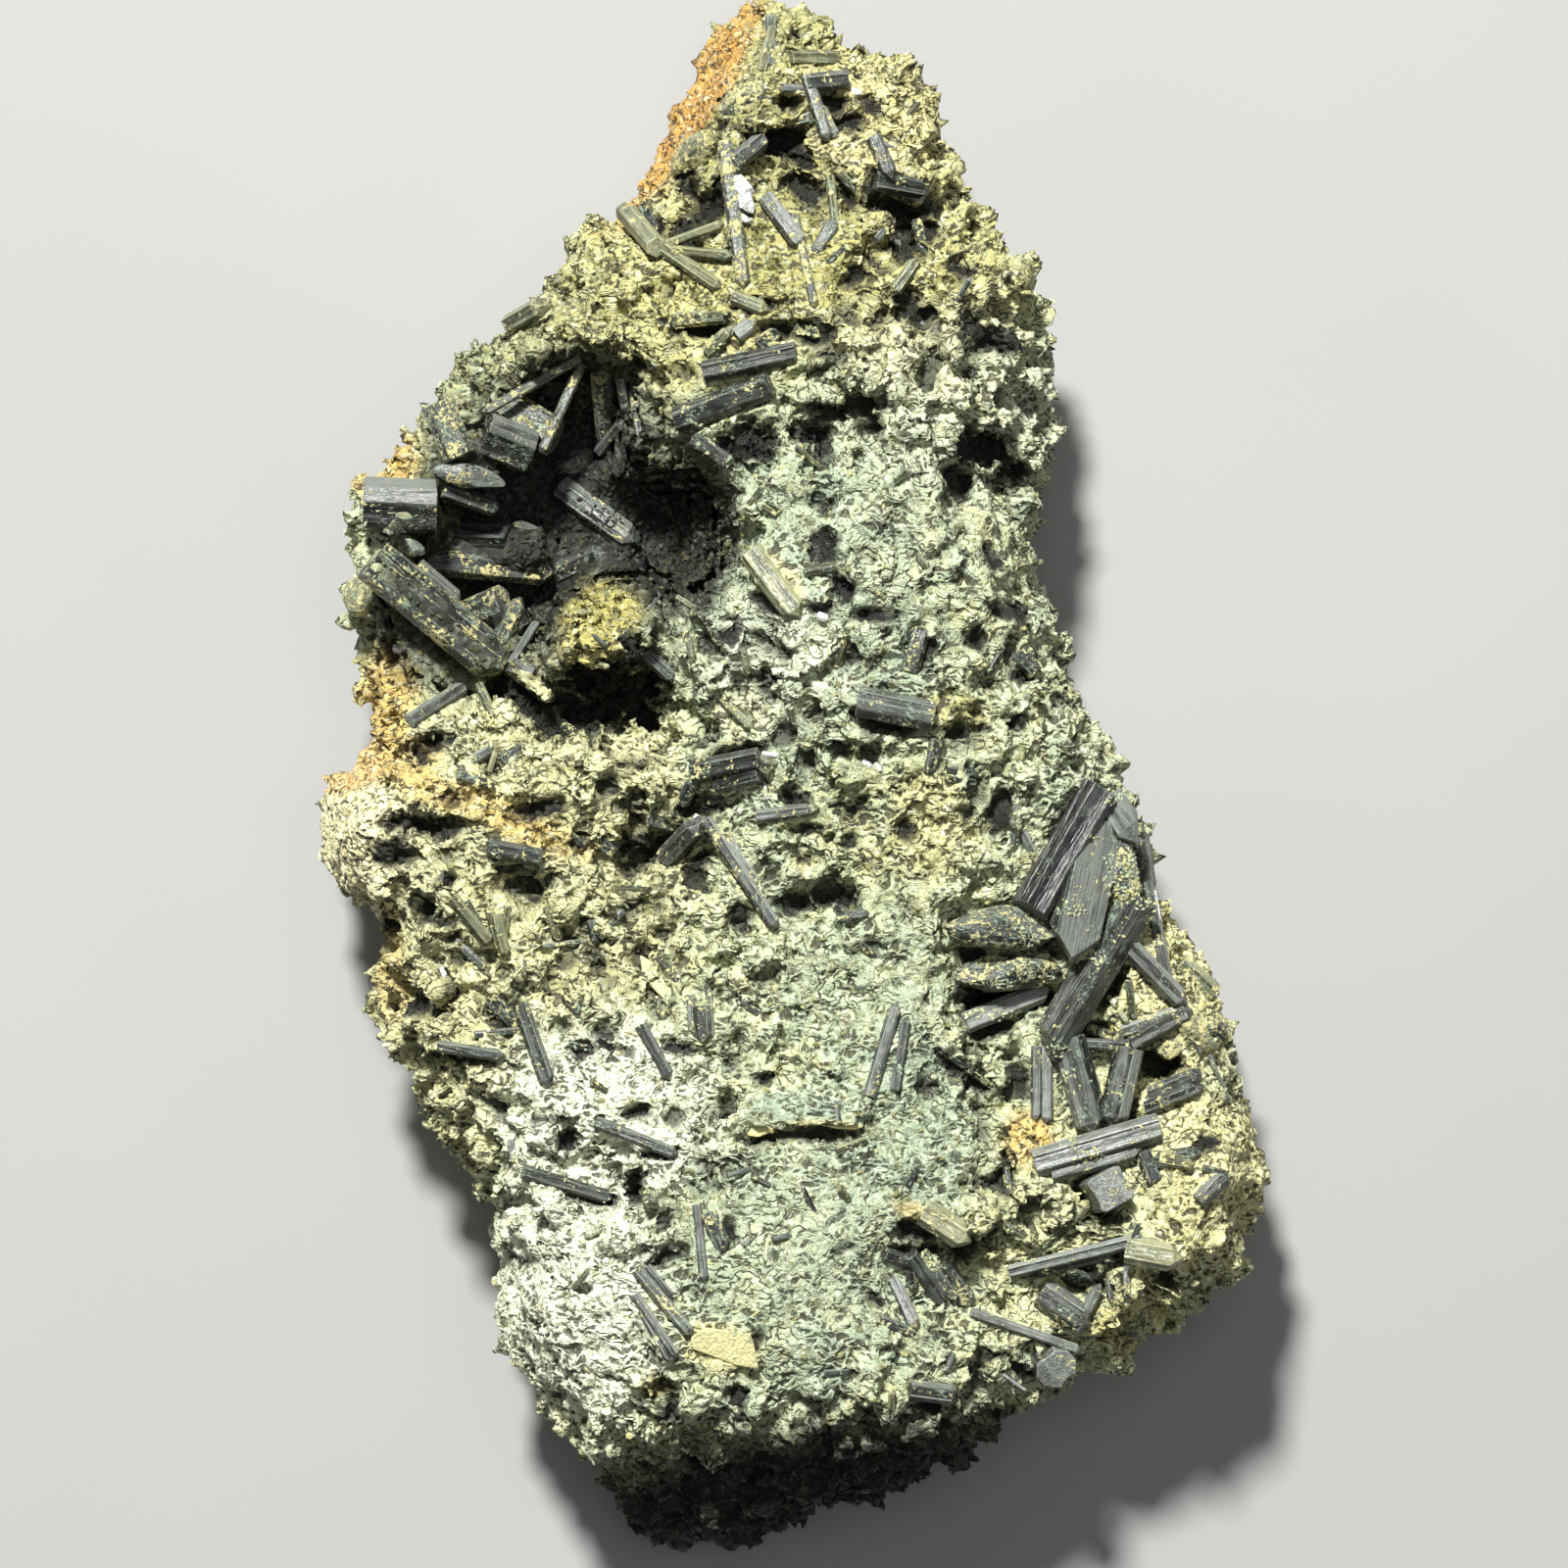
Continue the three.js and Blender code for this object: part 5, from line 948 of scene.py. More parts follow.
def make_grit():
    """Crumbly grit: a height for bump and a change of brightness."""
    w, given, end = new_group("grit", [("Scale", "number", 1500.0)],
                              [("Height", "number"), ("Bright", "number")])
    place = w.object_place()
    cells = w.cells(place, given["Scale"])
    rough = w.noise(place, 2600.0, 2.0, 0.6)
    w.feed(end, "Height", w.math("SUBTRACT", rough, cells.outputs["Distance"]))
    w.feed(end, "Bright", w.remap(cells.outputs["Distance"], 0.1, 0.7))


def make_grooves():
    """Fine lines along a crystal, from its own place attribute in millimetres."""
    w, given, end = new_group("grooves", [("Stretch", "number", 0.12)],
                              [("Height", "number"), ("Line", "number"),
                               ("Patch", "number")])
    own = w.attribute("own_place").outputs["Vector"]
    squeeze = w.add("ShaderNodeCombineXYZ", X=given["Stretch"], Y=1.0, Z=1.0)
    lines = w.add("ShaderNodeVectorMath", {"operation": "MULTIPLY"})
    w.feed(lines, "0", own)
    w.feed(lines, "1", squeeze.outputs[0])
    close = w.noise(lines.outputs[0], 4.6, 2.0, 0.6)
    wide = w.noise(lines.outputs[0], 1.7, 2.0, 0.5)
    w.feed(end, "Height", w.math("ADD", close, wide))
    both = w.math("ADD", w.math("MULTIPLY", close, 0.6), w.math("MULTIPLY", wide, 0.4))
    w.feed(end, "Line", w.remap(both, 0.38, 0.62))
    w.feed(end, "Patch", w.noise(own, 0.55, 3.0, 0.6))


def make_dust():
    """A mask of pale dust and stuck grains, in patches."""
    w, given, end = new_group("dust", [("Amount", "number", 0.5)], [("Mask", "number")])
    place = w.object_place()
    patch = w.noise(place, 480.0, 5.0, 0.75)
    speck = w.noise(place, 2300.0, 2.0, 0.6)
    both = w.math("ADD", patch, w.math("MULTIPLY", w.math("SUBTRACT", speck, 0.5), 0.7))
    edge = w.math("SUBTRACT", 0.82, w.math("MULTIPLY", given["Amount"], 0.36))
    w.feed(end, "Mask", w.remap(both, edge, w.math("ADD", edge, 0.09)))


def make_specks():
    """A mask of fine pale specks, stretched along the crystal they are on."""
    w, given, end = new_group("specks", [("Amount", "number", 0.5)], [("Mask", "number")])
    own = w.attribute("own_place").outputs["Vector"]
    squeeze = w.add("ShaderNodeVectorMath", {"operation": "MULTIPLY"})
    w.feed(squeeze, "0", own)
    w.feed(squeeze, "1", (0.55, 1.0, 1.0))
    fine = w.noise(squeeze.outputs[0], 4.2, 3.0, 0.7)
    patch = w.noise(own, 0.7, 2.0, 0.5)
    both = w.math("ADD", fine, w.math("MULTIPLY", w.math("SUBTRACT", patch, 0.5), 0.6))
    edge = w.math("SUBTRACT", 0.72, w.math("MULTIPLY", given["Amount"], 0.22))
    w.feed(end, "Mask", w.remap(both, edge, w.math("ADD", edge, 0.08)))


def new_material(name):
    material = bpy.data.materials.new(f"{name}_finish")
    material.use_nodes = True
    wiring = Wiring(material.node_tree)
    surface = material.node_tree.nodes["Principled BSDF"]
    return material, wiring, surface


def bump(w, surface, height, strength, distance):
    node = w.add("ShaderNodeBump", Height=height, Strength=strength, Distance=distance)
    w.feed(surface, "Normal", node.outputs["Normal"])


def darken(w, colour, shade, left):
    """The colour with what is left of its brightness where it is shaded."""
    level = w.remap(shade, 0.0, 1.0, 1.0, left, smooth=False)
    bright = w.add("ShaderNodeCombineColor")
    for index in "012":
        w.feed(bright, index, level)
    return w.mix(1.0, colour, bright.outputs[0], "MULTIPLY")


def make_rock_material():
    material, w, surface = new_material("rock")
    tint = w.group("ground_tint", Ragged=0.35)
    skin = w.group("skin")
    place = w.object_place()
    colour = w.mix(w.remap(w.noise(place, 1300.0, 2.0, 0.6), 0.5, 0.7, 0.0, 0.55),
                   tint.outputs["Color"], linear(GROUND_COLOURS["chalk"]))
    colour = w.mix(w.remap(w.noise(place, 800.0, 3.0, 0.6), 0.44, 0.3, 0.0, 0.8), colour,
                   linear(GROUND_COLOURS["olive"]))
    # Painted shade in the crevices between the wrinkles.
    colour = w.mix(w.math("MULTIPLY", skin.outputs["Gap"], 0.92), colour,
                   linear(GROUND_COLOURS["gap"]))
    # Painted shade in the hollows and where the rock has sunk.
    colour = darken(w, colour, w.attribute("shade").outputs["Fac"], 0.03)
    # Painted shade in the pocket and on the foot.
    colour = w.mix(w.math("MULTIPLY", tint.outputs["Shade"], 0.9), colour,
                   linear(GROUND_COLOURS["dark"]))
    w.feed(surface, "Base Color", colour)
    w.feed(surface, "Roughness", 0.75)
    bump(w, surface, skin.outputs["Height"], 0.8, 0.0003)
    return material


def make_grain_material():
    """Grains in the ground's colour, each with its own tone."""
    material, w, surface = new_material("grains")
    tint = w.group("ground_tint", Ragged=0.35)
    tone = w.attribute("grain_tone").outputs["Fac"]
    hue = w.attribute("grain_hue").outputs["Fac"]
    clump = w.noise(w.object_place(), 480.0, 2.0, 0.5)
    colour = w.mix(w.remap(clump, 0.5, 0.36, 0.0, 0.6), tint.outputs["Color"],
                   linear(GROUND_COLOURS["grey"]))
    leaning = w.math("ADD", hue, w.math("MULTIPLY", w.math("SUBTRACT", clump, 0.5), 1.1))
    colour = w.mix(w.remap(leaning, 0.78, 1.0, 0.0, 0.6), colour,
                   linear(GROUND_COLOURS["yellow"]))
    colour = w.mix(w.remap(hue, 0.2, 0.05, 0.0, 0.35), colour,
                   linear(GROUND_COLOURS["chalk"]))
    colour = w.mix(w.remap(tone, 0.1, 0.04, 0.0, 0.8), colour,
                   linear(GROUND_COLOURS["olive"]))
    grit = w.group("grit", Scale=2400.0)
    colour = darken(w, colour, tone, 0.6)
    # Painted shade in the hollows and where the rock has sunk, taken from the rock below.
    colour = darken(w, colour, w.attribute("shade").outputs["Fac"], 0.03)
    # Painted shade in the pocket and on the foot.
    colour = w.mix(w.math("MULTIPLY", tint.outputs["Shade"], 0.85), colour,
                   linear(GROUND_COLOURS["dark"]))
    w.feed(surface, "Base Color", colour)
    w.feed(surface, "Roughness", w.remap(hue, 0.0, 1.0, 0.5, 0.8, smooth=False))
    bump(w, surface, grit.outputs["Height"], 0.7, 0.0002)
    return material


def make_plate_material():
    """Flat plates in the ground's colour with a fine grain."""
    material, w, surface = new_material("plate")
    tint = w.group("ground_tint", Ragged=0.12)
    grit = w.group("grit", Scale=3200.0)
    colour = darken(w, tint.outputs["Color"], grit.outputs["Bright"], 0.7)
    colour = w.mix(w.attribute("edge").outputs["Fac"], colour,
                   linear(GROUND_COLOURS["cream"]))
    w.feed(surface, "Base Color", colour)
    w.feed(surface, "Roughness", 0.7)
    bump(w, surface, grit.outputs["Height"], 0.5, 0.0002)
    return material


def finish(name):
    return bpy.data.materials[f"{name}_finish"]


def make_crystal_material(name, dark, light, roughness):
    """Striated crystal faces: their greys come from each face's painted light and shade attribute."""
    material, w, surface = new_material(name)
    grooves = w.group("grooves", Stretch=0.1)
    tone = w.attribute("face_painted_shading").outputs["Fac"]
    tone = w.math("ADD", tone, w.math("MULTIPLY", w.math(
        "SUBTRACT", grooves.outputs["Line"], 0.5), 0.36))
    tone = w.math("ADD", tone, w.math("MULTIPLY", w.math(
        "SUBTRACT", grooves.outputs["Patch"], 0.5), 0.8))
    tone = w.math("MAXIMUM", tone, 0.0)
    colour = w.mix(w.math("POWER", tone, 1.8), (*dark, 1), (*light, 1))
    tint = w.group("ground_tint", Ragged=0.35)
    dusty = w.attribute("dusty").outputs["Fac"]
    dust = w.group("dust", Amount=dusty)
    specks = w.group("specks", Amount=dusty)
    colour = w.mix(w.math("MULTIPLY", specks.outputs["Mask"], 0.6), colour,
                   linear(GROUND_COLOURS["grey"]))
    crust = w.mix(0.8, tint.outputs["Color"], linear(GROUND_COLOURS["straw"]))
    colour = w.mix(w.math("MULTIPLY", dust.outputs["Mask"], 0.8), colour, crust)
    w.feed(surface, "Base Color", colour)
    rough = w.math("ADD", roughness, w.math("MULTIPLY", grooves.outputs["Patch"], 0.16))
    rough = w.math("MAXIMUM", rough, w.math("MULTIPLY", dust.outputs["Mask"], 0.75))
    w.feed(surface, "Roughness", rough)
    height = w.math("ADD", grooves.outputs["Height"],
                    w.math("MULTIPLY", dust.outputs["Mask"], 1.5))
    height = w.math("ADD", height, specks.outputs["Mask"])
    bump(w, surface, height, 0.7, 0.00018)
    return material


def make_materials(crystal):
    make_ground_tint()
    make_skin()
    make_grit()
    make_grooves()
    make_dust()
    make_specks()
    make_rock_material()
    make_grain_material()
    make_plate_material()
    light = tuple(crystal.light)
    dark = tuple(crystal.dark)
    rough = crystal.roughness
    make_crystal_material("dark", dark, light, rough)
    make_crystal_material("grey", (0.016, 0.019, 0.018), (0.3, 0.318, 0.295), rough)
    make_crystal_material("olive", (0.018, 0.02, 0.01), (0.34, 0.345, 0.2), rough)
    make_crystal_material("white", (0.6, 0.62, 0.64), (0.86, 0.88, 0.9), 0.35)
    # Pocket crystals: the dark finish made darker, as painted shade in the pocket.
    make_crystal_material("pocket", (0.004, 0.005, 0.0045), (0.17, 0.184, 0.168), rough)


# Crystals, cut from blocks.

def cut(place, facing, through=False):
    """Cuts the edited block with a plane. What is beyond it goes, unless it is cut through."""
    bpy.ops.mesh.select_all(action="SELECT")
    bpy.ops.mesh.bisect(plane_co=place, plane_no=facing, use_fill=not through,
                        clear_outer=not through, threshold=0.0005)


def cut_section(row, wide, thick):
    """Facets along the crystal, as planes through two lines of its section."""
    form = row.get("form", "hexagon")
    if form == "square":
        shoulder, ridge = 0.44, None
    else:
        shoulder, ridge = 0.28, row.get("ridge")
    for side in (-1, 1):
        for upper in (-1, 1):
            top = shoulder * side
            if ridge is not None and upper > 0:
                top = ridge
            low = 0.36 if form == "square" else 0.04
            across = (0.5 * side - top) * wide
            drop = (0.5 - low) * thick
            facing = Vector((0, drop * side, upper * abs(across)))
            cut((0, top * wide, upper * thick / 2), facing)


def cut_tip(row, length, wide, thick, chance):
    tip = row.get("tip", "wedge")
    if tip == "flat":
        cut((length, 0, 0), (1, chance.uniform(-0.18, 0.18), chance.uniform(-0.1, 0.25)))
        return
    if tip == "chisel":
        cut((length, wide * 0.3, 0), (0.72, -0.66, 0.25))
        cut((length, 0, thick * 0.1), (0.8, 0.3, 0.6))
        return
    if tip == "diamond":
        for side, lean in ((-1, 0.62), (1, 0.9)):
            cut((length, 0.04 * wide, 0), (0.62, side * lean, 0.1))
        cut((length, 0, thick * 0.12), (0.55, 0.1, 0.84))
        return
    lean = chance.uniform(0.5, 0.85)
    for side in (-1, 1):
        cut((length, 0, 0), (0.62, side * lean * chance.uniform(0.7, 1.2), 0.16))
    cut((length, 0, thick * 0.16), (0.6, 0, 0.8))


def cut_grooves(crystal, row, wide, thick, chance):
    """Lengthwise cuts, each line moved in a little so that the faces are grooved."""
    count = max(2, round(wide / crystal.groove_pitch))
    for line in range(1, count):
        across = (line / count - 0.5 + chance.uniform(-0.3, 0.3) / count) * wide
        cut((0, across, 0), (0, 1, 0), through=True)
        depth = crystal.groove_depth * chance.choice((-0.25, 0.2, 0.6, 1.0))
        bpy.ops.transform.resize(value=(1, 1, 1 - depth * min(1, 2.4 / thick)))


def seed_form(length, wide, thick, chance):
    """A lumpy seed with pointed ends and a few facets."""
    deselect()
    large = wide > 2.4
    bpy.ops.mesh.primitive_uv_sphere_add(segments=14 if large else 8,
                                         ring_count=10 if large else 6, radius=0.5)
    obj = bpy.context.active_object
    obj.data.transform(Matrix.Rotation(math.radians(90), 4, "Y"))
    for vertex in obj.data.vertices:
        pointed = 1 - 0.22 * abs(2 * vertex.co.x) ** 1.5
        vertex.co.y *= pointed * wide
        vertex.co.z *= pointed * thick
        vertex.co.x = (vertex.co.x + 0.5) * length
    edit(obj)
    bpy.ops.transform.vertex_random(offset=0.05 * min(wide, thick),
                                    seed=chance.randrange(1000))
    for _ in range(4):
        angle = chance.uniform(0, math.pi)
        lean = Vector((chance.uniform(-0.4, 0.4), math.cos(angle), math.sin(angle)))
        middle = Vector((length / 2, 0, 0))
        place = middle + Vector((0, lean.y * wide, lean.z * thick)) * 0.42
        cut(place, lean)
    bpy.ops.mesh.select_all(action="SELECT")
    bpy.ops.mesh.normals_make_consistent(inside=False)
    done()
    return obj


def block_form(crystal, row, length, wide, thick, chance):
    """A prism cut from a block, with grooved faces and narrow bevels."""
    deselect()
    bpy.ops.mesh.primitive_cube_add(size=1, location=(length / 2, 0, 0),
                                    scale=(length, wide, thick))
    obj = bpy.context.active_object
    bpy.ops.object.transform_apply(location=True, rotation=True, scale=True)
    edit(obj)
    cut_section(row, wide, thick)
    cut_tip(row, length, wide, thick, chance)
    cut_grooves(crystal, row, wide, thick, chance)
    bpy.ops.mesh.select_all(action="DESELECT")
    bpy.ops.mesh.select_mode(type="EDGE")
    bpy.ops.mesh.edges_select_sharp(sharpness=math.radians(30))
    bpy.ops.mesh.bevel(offset=min(0.09, 0.05 * min(wide, thick)), segments=1, affect="EDGES")
    bpy.ops.mesh.select_mode(type="FACE")
    done()
    return obj


def grow(crystal, row, chance, shift=0.0, share=1.0, back=0.0):
    """Makes one crystal at the place where it grew. Shift, share and back make a strand."""
    start, end = Vector(row["start"]), Vector(row["end"])
    axis = end - start
    length = axis.length * (1 - back)
    wide, thick = row["wide"] * share, row["thick"] * (1 - 0.42 * abs(shift))
    if row.get("form") == "lens":
        obj = seed_form(length, wide, thick, chance)
    else:
        obj = block_form(crystal, row, length, wide, thick, chance)
    mark_faces(obj.data, row, wide, thick, chance)
    along = axis.normalized()
    across = Vector((0, 0, 1)).cross(along).normalized()
    up = along.cross(across)
    turn = Matrix((along, across, up)).transposed()
    roll = Matrix.Rotation(math.radians(row.get("roll", 0)), 3, "X")
    place = Matrix.Translation(drawn(*start)) @ ((turn @ roll).to_4x4()) @ Matrix.Scale(MM, 4)
    side = Matrix.Translation((0, shift * row["wide"], 0))
    obj.matrix_world = place @ side
    bpy.ops.object.transform_apply(location=True, rotation=True, scale=True)
    return obj


def mark_faces(mesh, row, wide, thick, chance):
    """Keeps each corner's own place on the crystal and each face's grey, which is painted light and
    shade by the side the face looks to, and paler on the bevels as painted highlights.
    """
    offset = Vector([chance.uniform(0, 90) for _ in range(3)])
    own = mesh.attributes.new("own_place", "FLOAT_VECTOR", "POINT")
    for index, vertex in enumerate(mesh.vertices):
        own.data[index].vector = vertex.co + offset
    dusty = mesh.attributes.new("dusty", "FLOAT", "FACE")
    tone = mesh.attributes.new("face_painted_shading", "FLOAT", "FACE")
    left, top, right, tip = row.get("tones", (0.2, 0.4, 0.6, 0.5))
    strips = {}
    for index, face in enumerate(mesh.polygons):
        facing = face.normal
        if facing.x > 0.45:
            grey = tip
        else:
            strip = round(face.center.y / 0.3)
            if strip not in strips:
                strips[strip] = chance.uniform(-0.16, 0.16)
            lean = facing.y / max(abs(facing.y) + abs(facing.z), 1e-6)
            side = right if lean > 0 else left
            blend = min(1, abs(lean) / 0.45)
            grey = top + (side - top) * blend + strips[strip]
        # Painted highlight: the narrow bevels along the edges are made paler, as glints.
        if face.select and row.get("form") != "lens":
            grey += 0.3
        tone.data[index].value = max(0, grey)
        dusty.data[index].value = row.get("dusty", 1.0 if row.get("form") == "lens" else 0.6)


def grow_all(crystal, rows, name, material, smooth_angle=None):
    """Grows the rows' crystals, joined into one piece."""
    made = []
    for number, row in enumerate(rows):
        chance = random.Random(f"{name} {number}")
        made.append(grow(crystal, row, chance))
        strands = row.get("strands", 0)
        for strand in range(strands):
            shift = (0.33, -0.34, 0.12)[strand] * (1 if number % 2 else -1)
            made.append(grow(crystal, {**row, "tip": "wedge", "ridge": None}, chance,
                             shift=shift, share=0.34, back=chance.uniform(0.06, 0.2)))
    piece = join(made, name)
    piece.data.materials.clear()
    piece.data.materials.append(finish(material))
    if smooth_angle:
        take(piece)
        bpy.ops.object.shade_smooth_by_angle(angle=math.radians(smooth_angle))
    return piece


def tree_of(*names):
    """A search tree of the named pieces."""
    vertices, faces = [], []
    for name in names:
        mesh = bpy.data.objects[name].data
        first = len(vertices)
        vertices += [vertex.co.copy() for vertex in mesh.vertices]
        faces += [[first + index for index in face.vertices] for face in mesh.polygons]
    return BVHTree.FromPolygons(vertices, faces)


def height(tree, x, y):
    """The rock's height at a place of the drawing, in millimetres."""
    above = drawn(x, y, 90)
    hit = tree.ray_cast(above, Vector((0, 0, -1)))[0]
    return hit.z / MM if hit else 0.0


def laid(tree, row):
    """The row with its ends on the rock, and high enough to be clear of its bumps."""
    (x0, y0), (x1, y1) = row["start"], row["end"]
    drop = 0.6 * math.dist((x0, y0), (x1, y1))
    ends = [height(tree, x0, y0), height(tree, x1, y1)]
    ends = [max(end, max(ends) - drop) for end in ends]
    middle, half = sum(ends) / 2, (ends[1] - ends[0]) / 2
    above = []
    for step in range(9):
        share = step / 8
        ground = height(tree, x0 + (x1 - x0) * share, y0 + (y1 - y0) * share)
        above.append(ground - middle - half * (2 * share - 1))
    lift = min(sorted(above)[5], 1.0) + row.get("lift", 0.0) + 0.02 * row["thick"]
    return {**row, "start": (x0, y0, middle - half + lift), "end": (x1, y1, middle + half + lift)}


# Rock and grains.

def lump_texture(name, kind, size, contrast, bright):
    texture = bpy.data.textures.new(name, kind)
    texture.noise_scale = size
    texture.contrast = contrast
    texture.intensity = bright
    return texture


def oval(x, y, middle, half, turn):
    """How far a place is from an oval's middle, as a share of its half sizes."""
    angle = math.radians(turn)
    away_x, away_y = x - middle[0], y - middle[1]
    along = (away_x * math.cos(angle) + away_y * math.sin(angle)) / half[0]
    across = (away_y * math.cos(angle) - away_x * math.sin(angle)) / half[1]
    return math.hypot(along, across)


def smooth_step(value, low, high):
    share = min(1, max(0, (value - low) / (high - low)))
    return share * share * (3 - 2 * share)


def mark_free(piece, crystals):
    """A vertex group of how freely the rock is roughened: less at its foot, beside crystals
    and where it is flat."""
    group = piece.vertex_groups.new(name="free")
    for vertex in piece.data.vertices:
        share = smooth_step(vertex.co.z, 0.0003, 0.003)
        if share > 0 and vertex.normal.z > 0:
            away = crystals.find_nearest(vertex.co, 0.0024)[3]
            if away is not None:
                share *= 0.12 + 0.88 * smooth_step(away, 0.0004, 0.0022)
            x, y = vertex.co.x / MM + DRAWING_CENTRE[0], vertex.co.y / MM + DRAWING_CENTRE[1]
            for middle, half, turn, flat in FLATS:
                share *= 1 - flat * smooth_step(oval(x, y, middle, half, turn), 1.15, 0.7)
        group.add([vertex.index], share, "REPLACE")


def uncover(piece, crystals):
    """Lowers the rock where it would hide a crystal that lies just below it."""
    down = Vector((0, 0, -1))
    for vertex in piece.data.vertices:
        if vertex.normal.z < 0.05 or vertex.co.z < 0.004:
            continue
        if crystals.find_nearest(vertex.co, 0.0035)[0] is None:
            continue
        deepest, hits = 0.0, 0
        for x, y in ((0, 0), (5, 0), (-5, 0), (0, 5), (0, -5)):
            place = vertex.co + Vector((x, y, 0)) * 0.0001
            _, normal, _, deep = crystals.ray_cast(place, down, 0.0045)
            if normal is not None and normal.z > 0:
                deepest, hits = max(deepest, deep), hits + 1
        if hits:
            vertex.co.z -= (deepest + 0.0001) * min(1, hits / 4)


def mark_hollows(piece):
    """A vertex group of how deep the hollows of the face are, and how far inside a hollow
    each vertex is."""
    group = piece.vertex_groups.new(name="hollow")
    inside = [0.0] * len(piece.data.vertices)
    rows = [(*row, max(row[1]) * 1.5) for row in HOLLOWS]
    for vertex in piece.data.vertices:
        if vertex.normal.z < 0.1 or vertex.co.z < 0.004:
            continue
        x, y = vertex.co.x / MM + DRAWING_CENTRE[0], vertex.co.y / MM + DRAWING_CENTRE[1]
        deep = 0.0
        for middle, half, turn, depth, reach in rows:
            if abs(x - middle[0]) < reach and abs(y - middle[1]) < reach:
                ragged = 0.5 * noise.noise(Vector((x, y, 0)) * 1.1)
                away = oval(x, y, middle, half, turn) + ragged
                deep = max(deep, depth * smooth_step(away, 1.4, 0.7))
                inside[vertex.index] = max(inside[vertex.index], smooth_step(away, 1.3, 0.8))
        if deep > 0:
            group.add([vertex.index], deep / DEEPEST, "REPLACE")
    return inside


def mark_shade(piece, before, inside):
    """Keeps how deep each vertex has sunk or is inside a hollow, for the finishes to paint shade there.
    """
    shade = piece.data.attributes.new("shade", "FLOAT", "POINT")
    for vertex, (place, normal), hollow in zip(piece.data.vertices, before, inside):
        sunk = (place - vertex.co).dot(normal)
        level = max(0.9 * smooth_step(sunk, 0.00085, 0.0021), hollow)
        shade.data[vertex.index].value = level


def roughen(piece, steps):
    """Displaces the piece by textures: (name, kind, size, rise, middle, contrast, bright)."""
    for name, kind, size, rise, middle, contrast, bright in steps:
        modifier = piece.modifiers.new(name, "DISPLACE")
        modifier.strength = rise
        modifier.mid_level = middle
        if kind:
            modifier.texture = lump_texture(name, kind, size, contrast, bright)
            modifier.texture_coords = "LOCAL"
        if name == "hollows":
            modifier.direction = "Z"
            modifier.vertex_group = "hollow"
        elif "free" in piece.vertex_groups:
            modifier.vertex_group = "free"
    apply_modifiers(piece)


def voxel_remesh(piece, size):
    modifier = piece.modifiers.new("remesh", "REMESH")
    modifier.mode = "VOXEL"
    modifier.voxel_size = size
    apply_modifiers(piece)


def refine_face(piece, least):
    """Divides the facets of the face, which is seen from close by."""
    take(piece)
    for face in piece.data.polygons:
        face.select = face.normal.z > least and face.center.z > 0.006
    bpy.ops.object.mode_set(mode="EDIT")
    bpy.ops.mesh.select_mode(type="FACE")
    bpy.ops.mesh.subdivide(number_cuts=1)
    bpy.ops.mesh.select_mode(type="VERT")
    done()


def wrinkle(piece, depth):
    """Wrinkles the piece by nodes, which keep each vertex's place for the finish."""
    tree = bpy.data.node_groups.new("wrinkle", "GeometryNodeTree")
    for way in ("INPUT", "OUTPUT"):
        tree.interface.new_socket("Geometry", in_out=way,
                                  socket_type="NodeSocketGeometry")
    w = Wiring(tree)
    start, end = w.add("NodeGroupInput"), w.add("NodeGroupOutput")
    place = w.add("GeometryNodeInputPosition").outputs[0]
    keep = w.add("GeometryNodeStoreNamedAttribute",
                 {"data_type": "FLOAT_VECTOR", "domain": "POINT"},
                 Geometry=start.outputs[0], Name="skin_place", Value=place)
    free = w.add("GeometryNodeInputNamedAttribute", {"data_type": "FLOAT"}, Name="free")
    split = w.add("ShaderNodeSeparateXYZ")
    w.feed(split, "0", place)
    share = w.math("MULTIPLY", w.remap(split.outputs["Z"], 0.0005, 0.003),
                   w.math("ADD", w.math("MULTIPLY", free.outputs[0], 0.5), 0.5))
    sunk = w.math("MULTIPLY", w.math("SUBTRACT", wrinkles(w, place), 1.0),
                  w.math("MULTIPLY", share, depth))
    offset = w.add("ShaderNodeVectorMath", {"operation": "SCALE"}, Scale=sunk)
    w.feed(offset, "0", w.add("GeometryNodeInputNormal").outputs[0])
    move = w.add("GeometryNodeSetPosition", None, Geometry=keep.outputs[0],
                 Offset=offset.outputs[0])
    w.feed(end, "0", move.outputs[0])
    modifier = piece.modifiers.new("wrinkle", "NODES")
    modifier.node_group = tree
    apply_modifiers(piece)


def make_rock(rock, crystals):
    piece = node_copy("matrix", "matrix_rock")
    voxel_remesh(piece, rock.voxel)
    refine_face(piece, 0.0)
    uncover(piece, crystals)
    mark_free(piece, crystals)
    inside = mark_hollows(piece)
    before = [(vertex.co.copy(), vertex.normal.copy()) for vertex in piece.data.vertices]
    roughen(piece, [
        ("sink", None, 0, -rock.sink, 0, 0, 0),
        ("lumps", "VORONOI", 0.0042, -rock.lump_rise, 0.22, 1, 1),
        ("knots", "VORONOI", 0.0019, -rock.knot_rise, 0.3, 1, 1),
        ("holes", "CLOUDS", 0.0026, -rock.hole_depth, 0, 5, 0.3),
        ("hollows", None, 0, -DEEPEST * MM, 0, 0, 0),
    ])
    mark_shade(piece, before, inside)
    refine_face(piece, 0.3)
    wrinkle(piece, rock.wrinkle_depth)
    piece.vertex_groups.clear()
    piece.data.materials.append(finish("rock"))
    take(piece)
    bpy.ops.object.shade_smooth()
    return piece


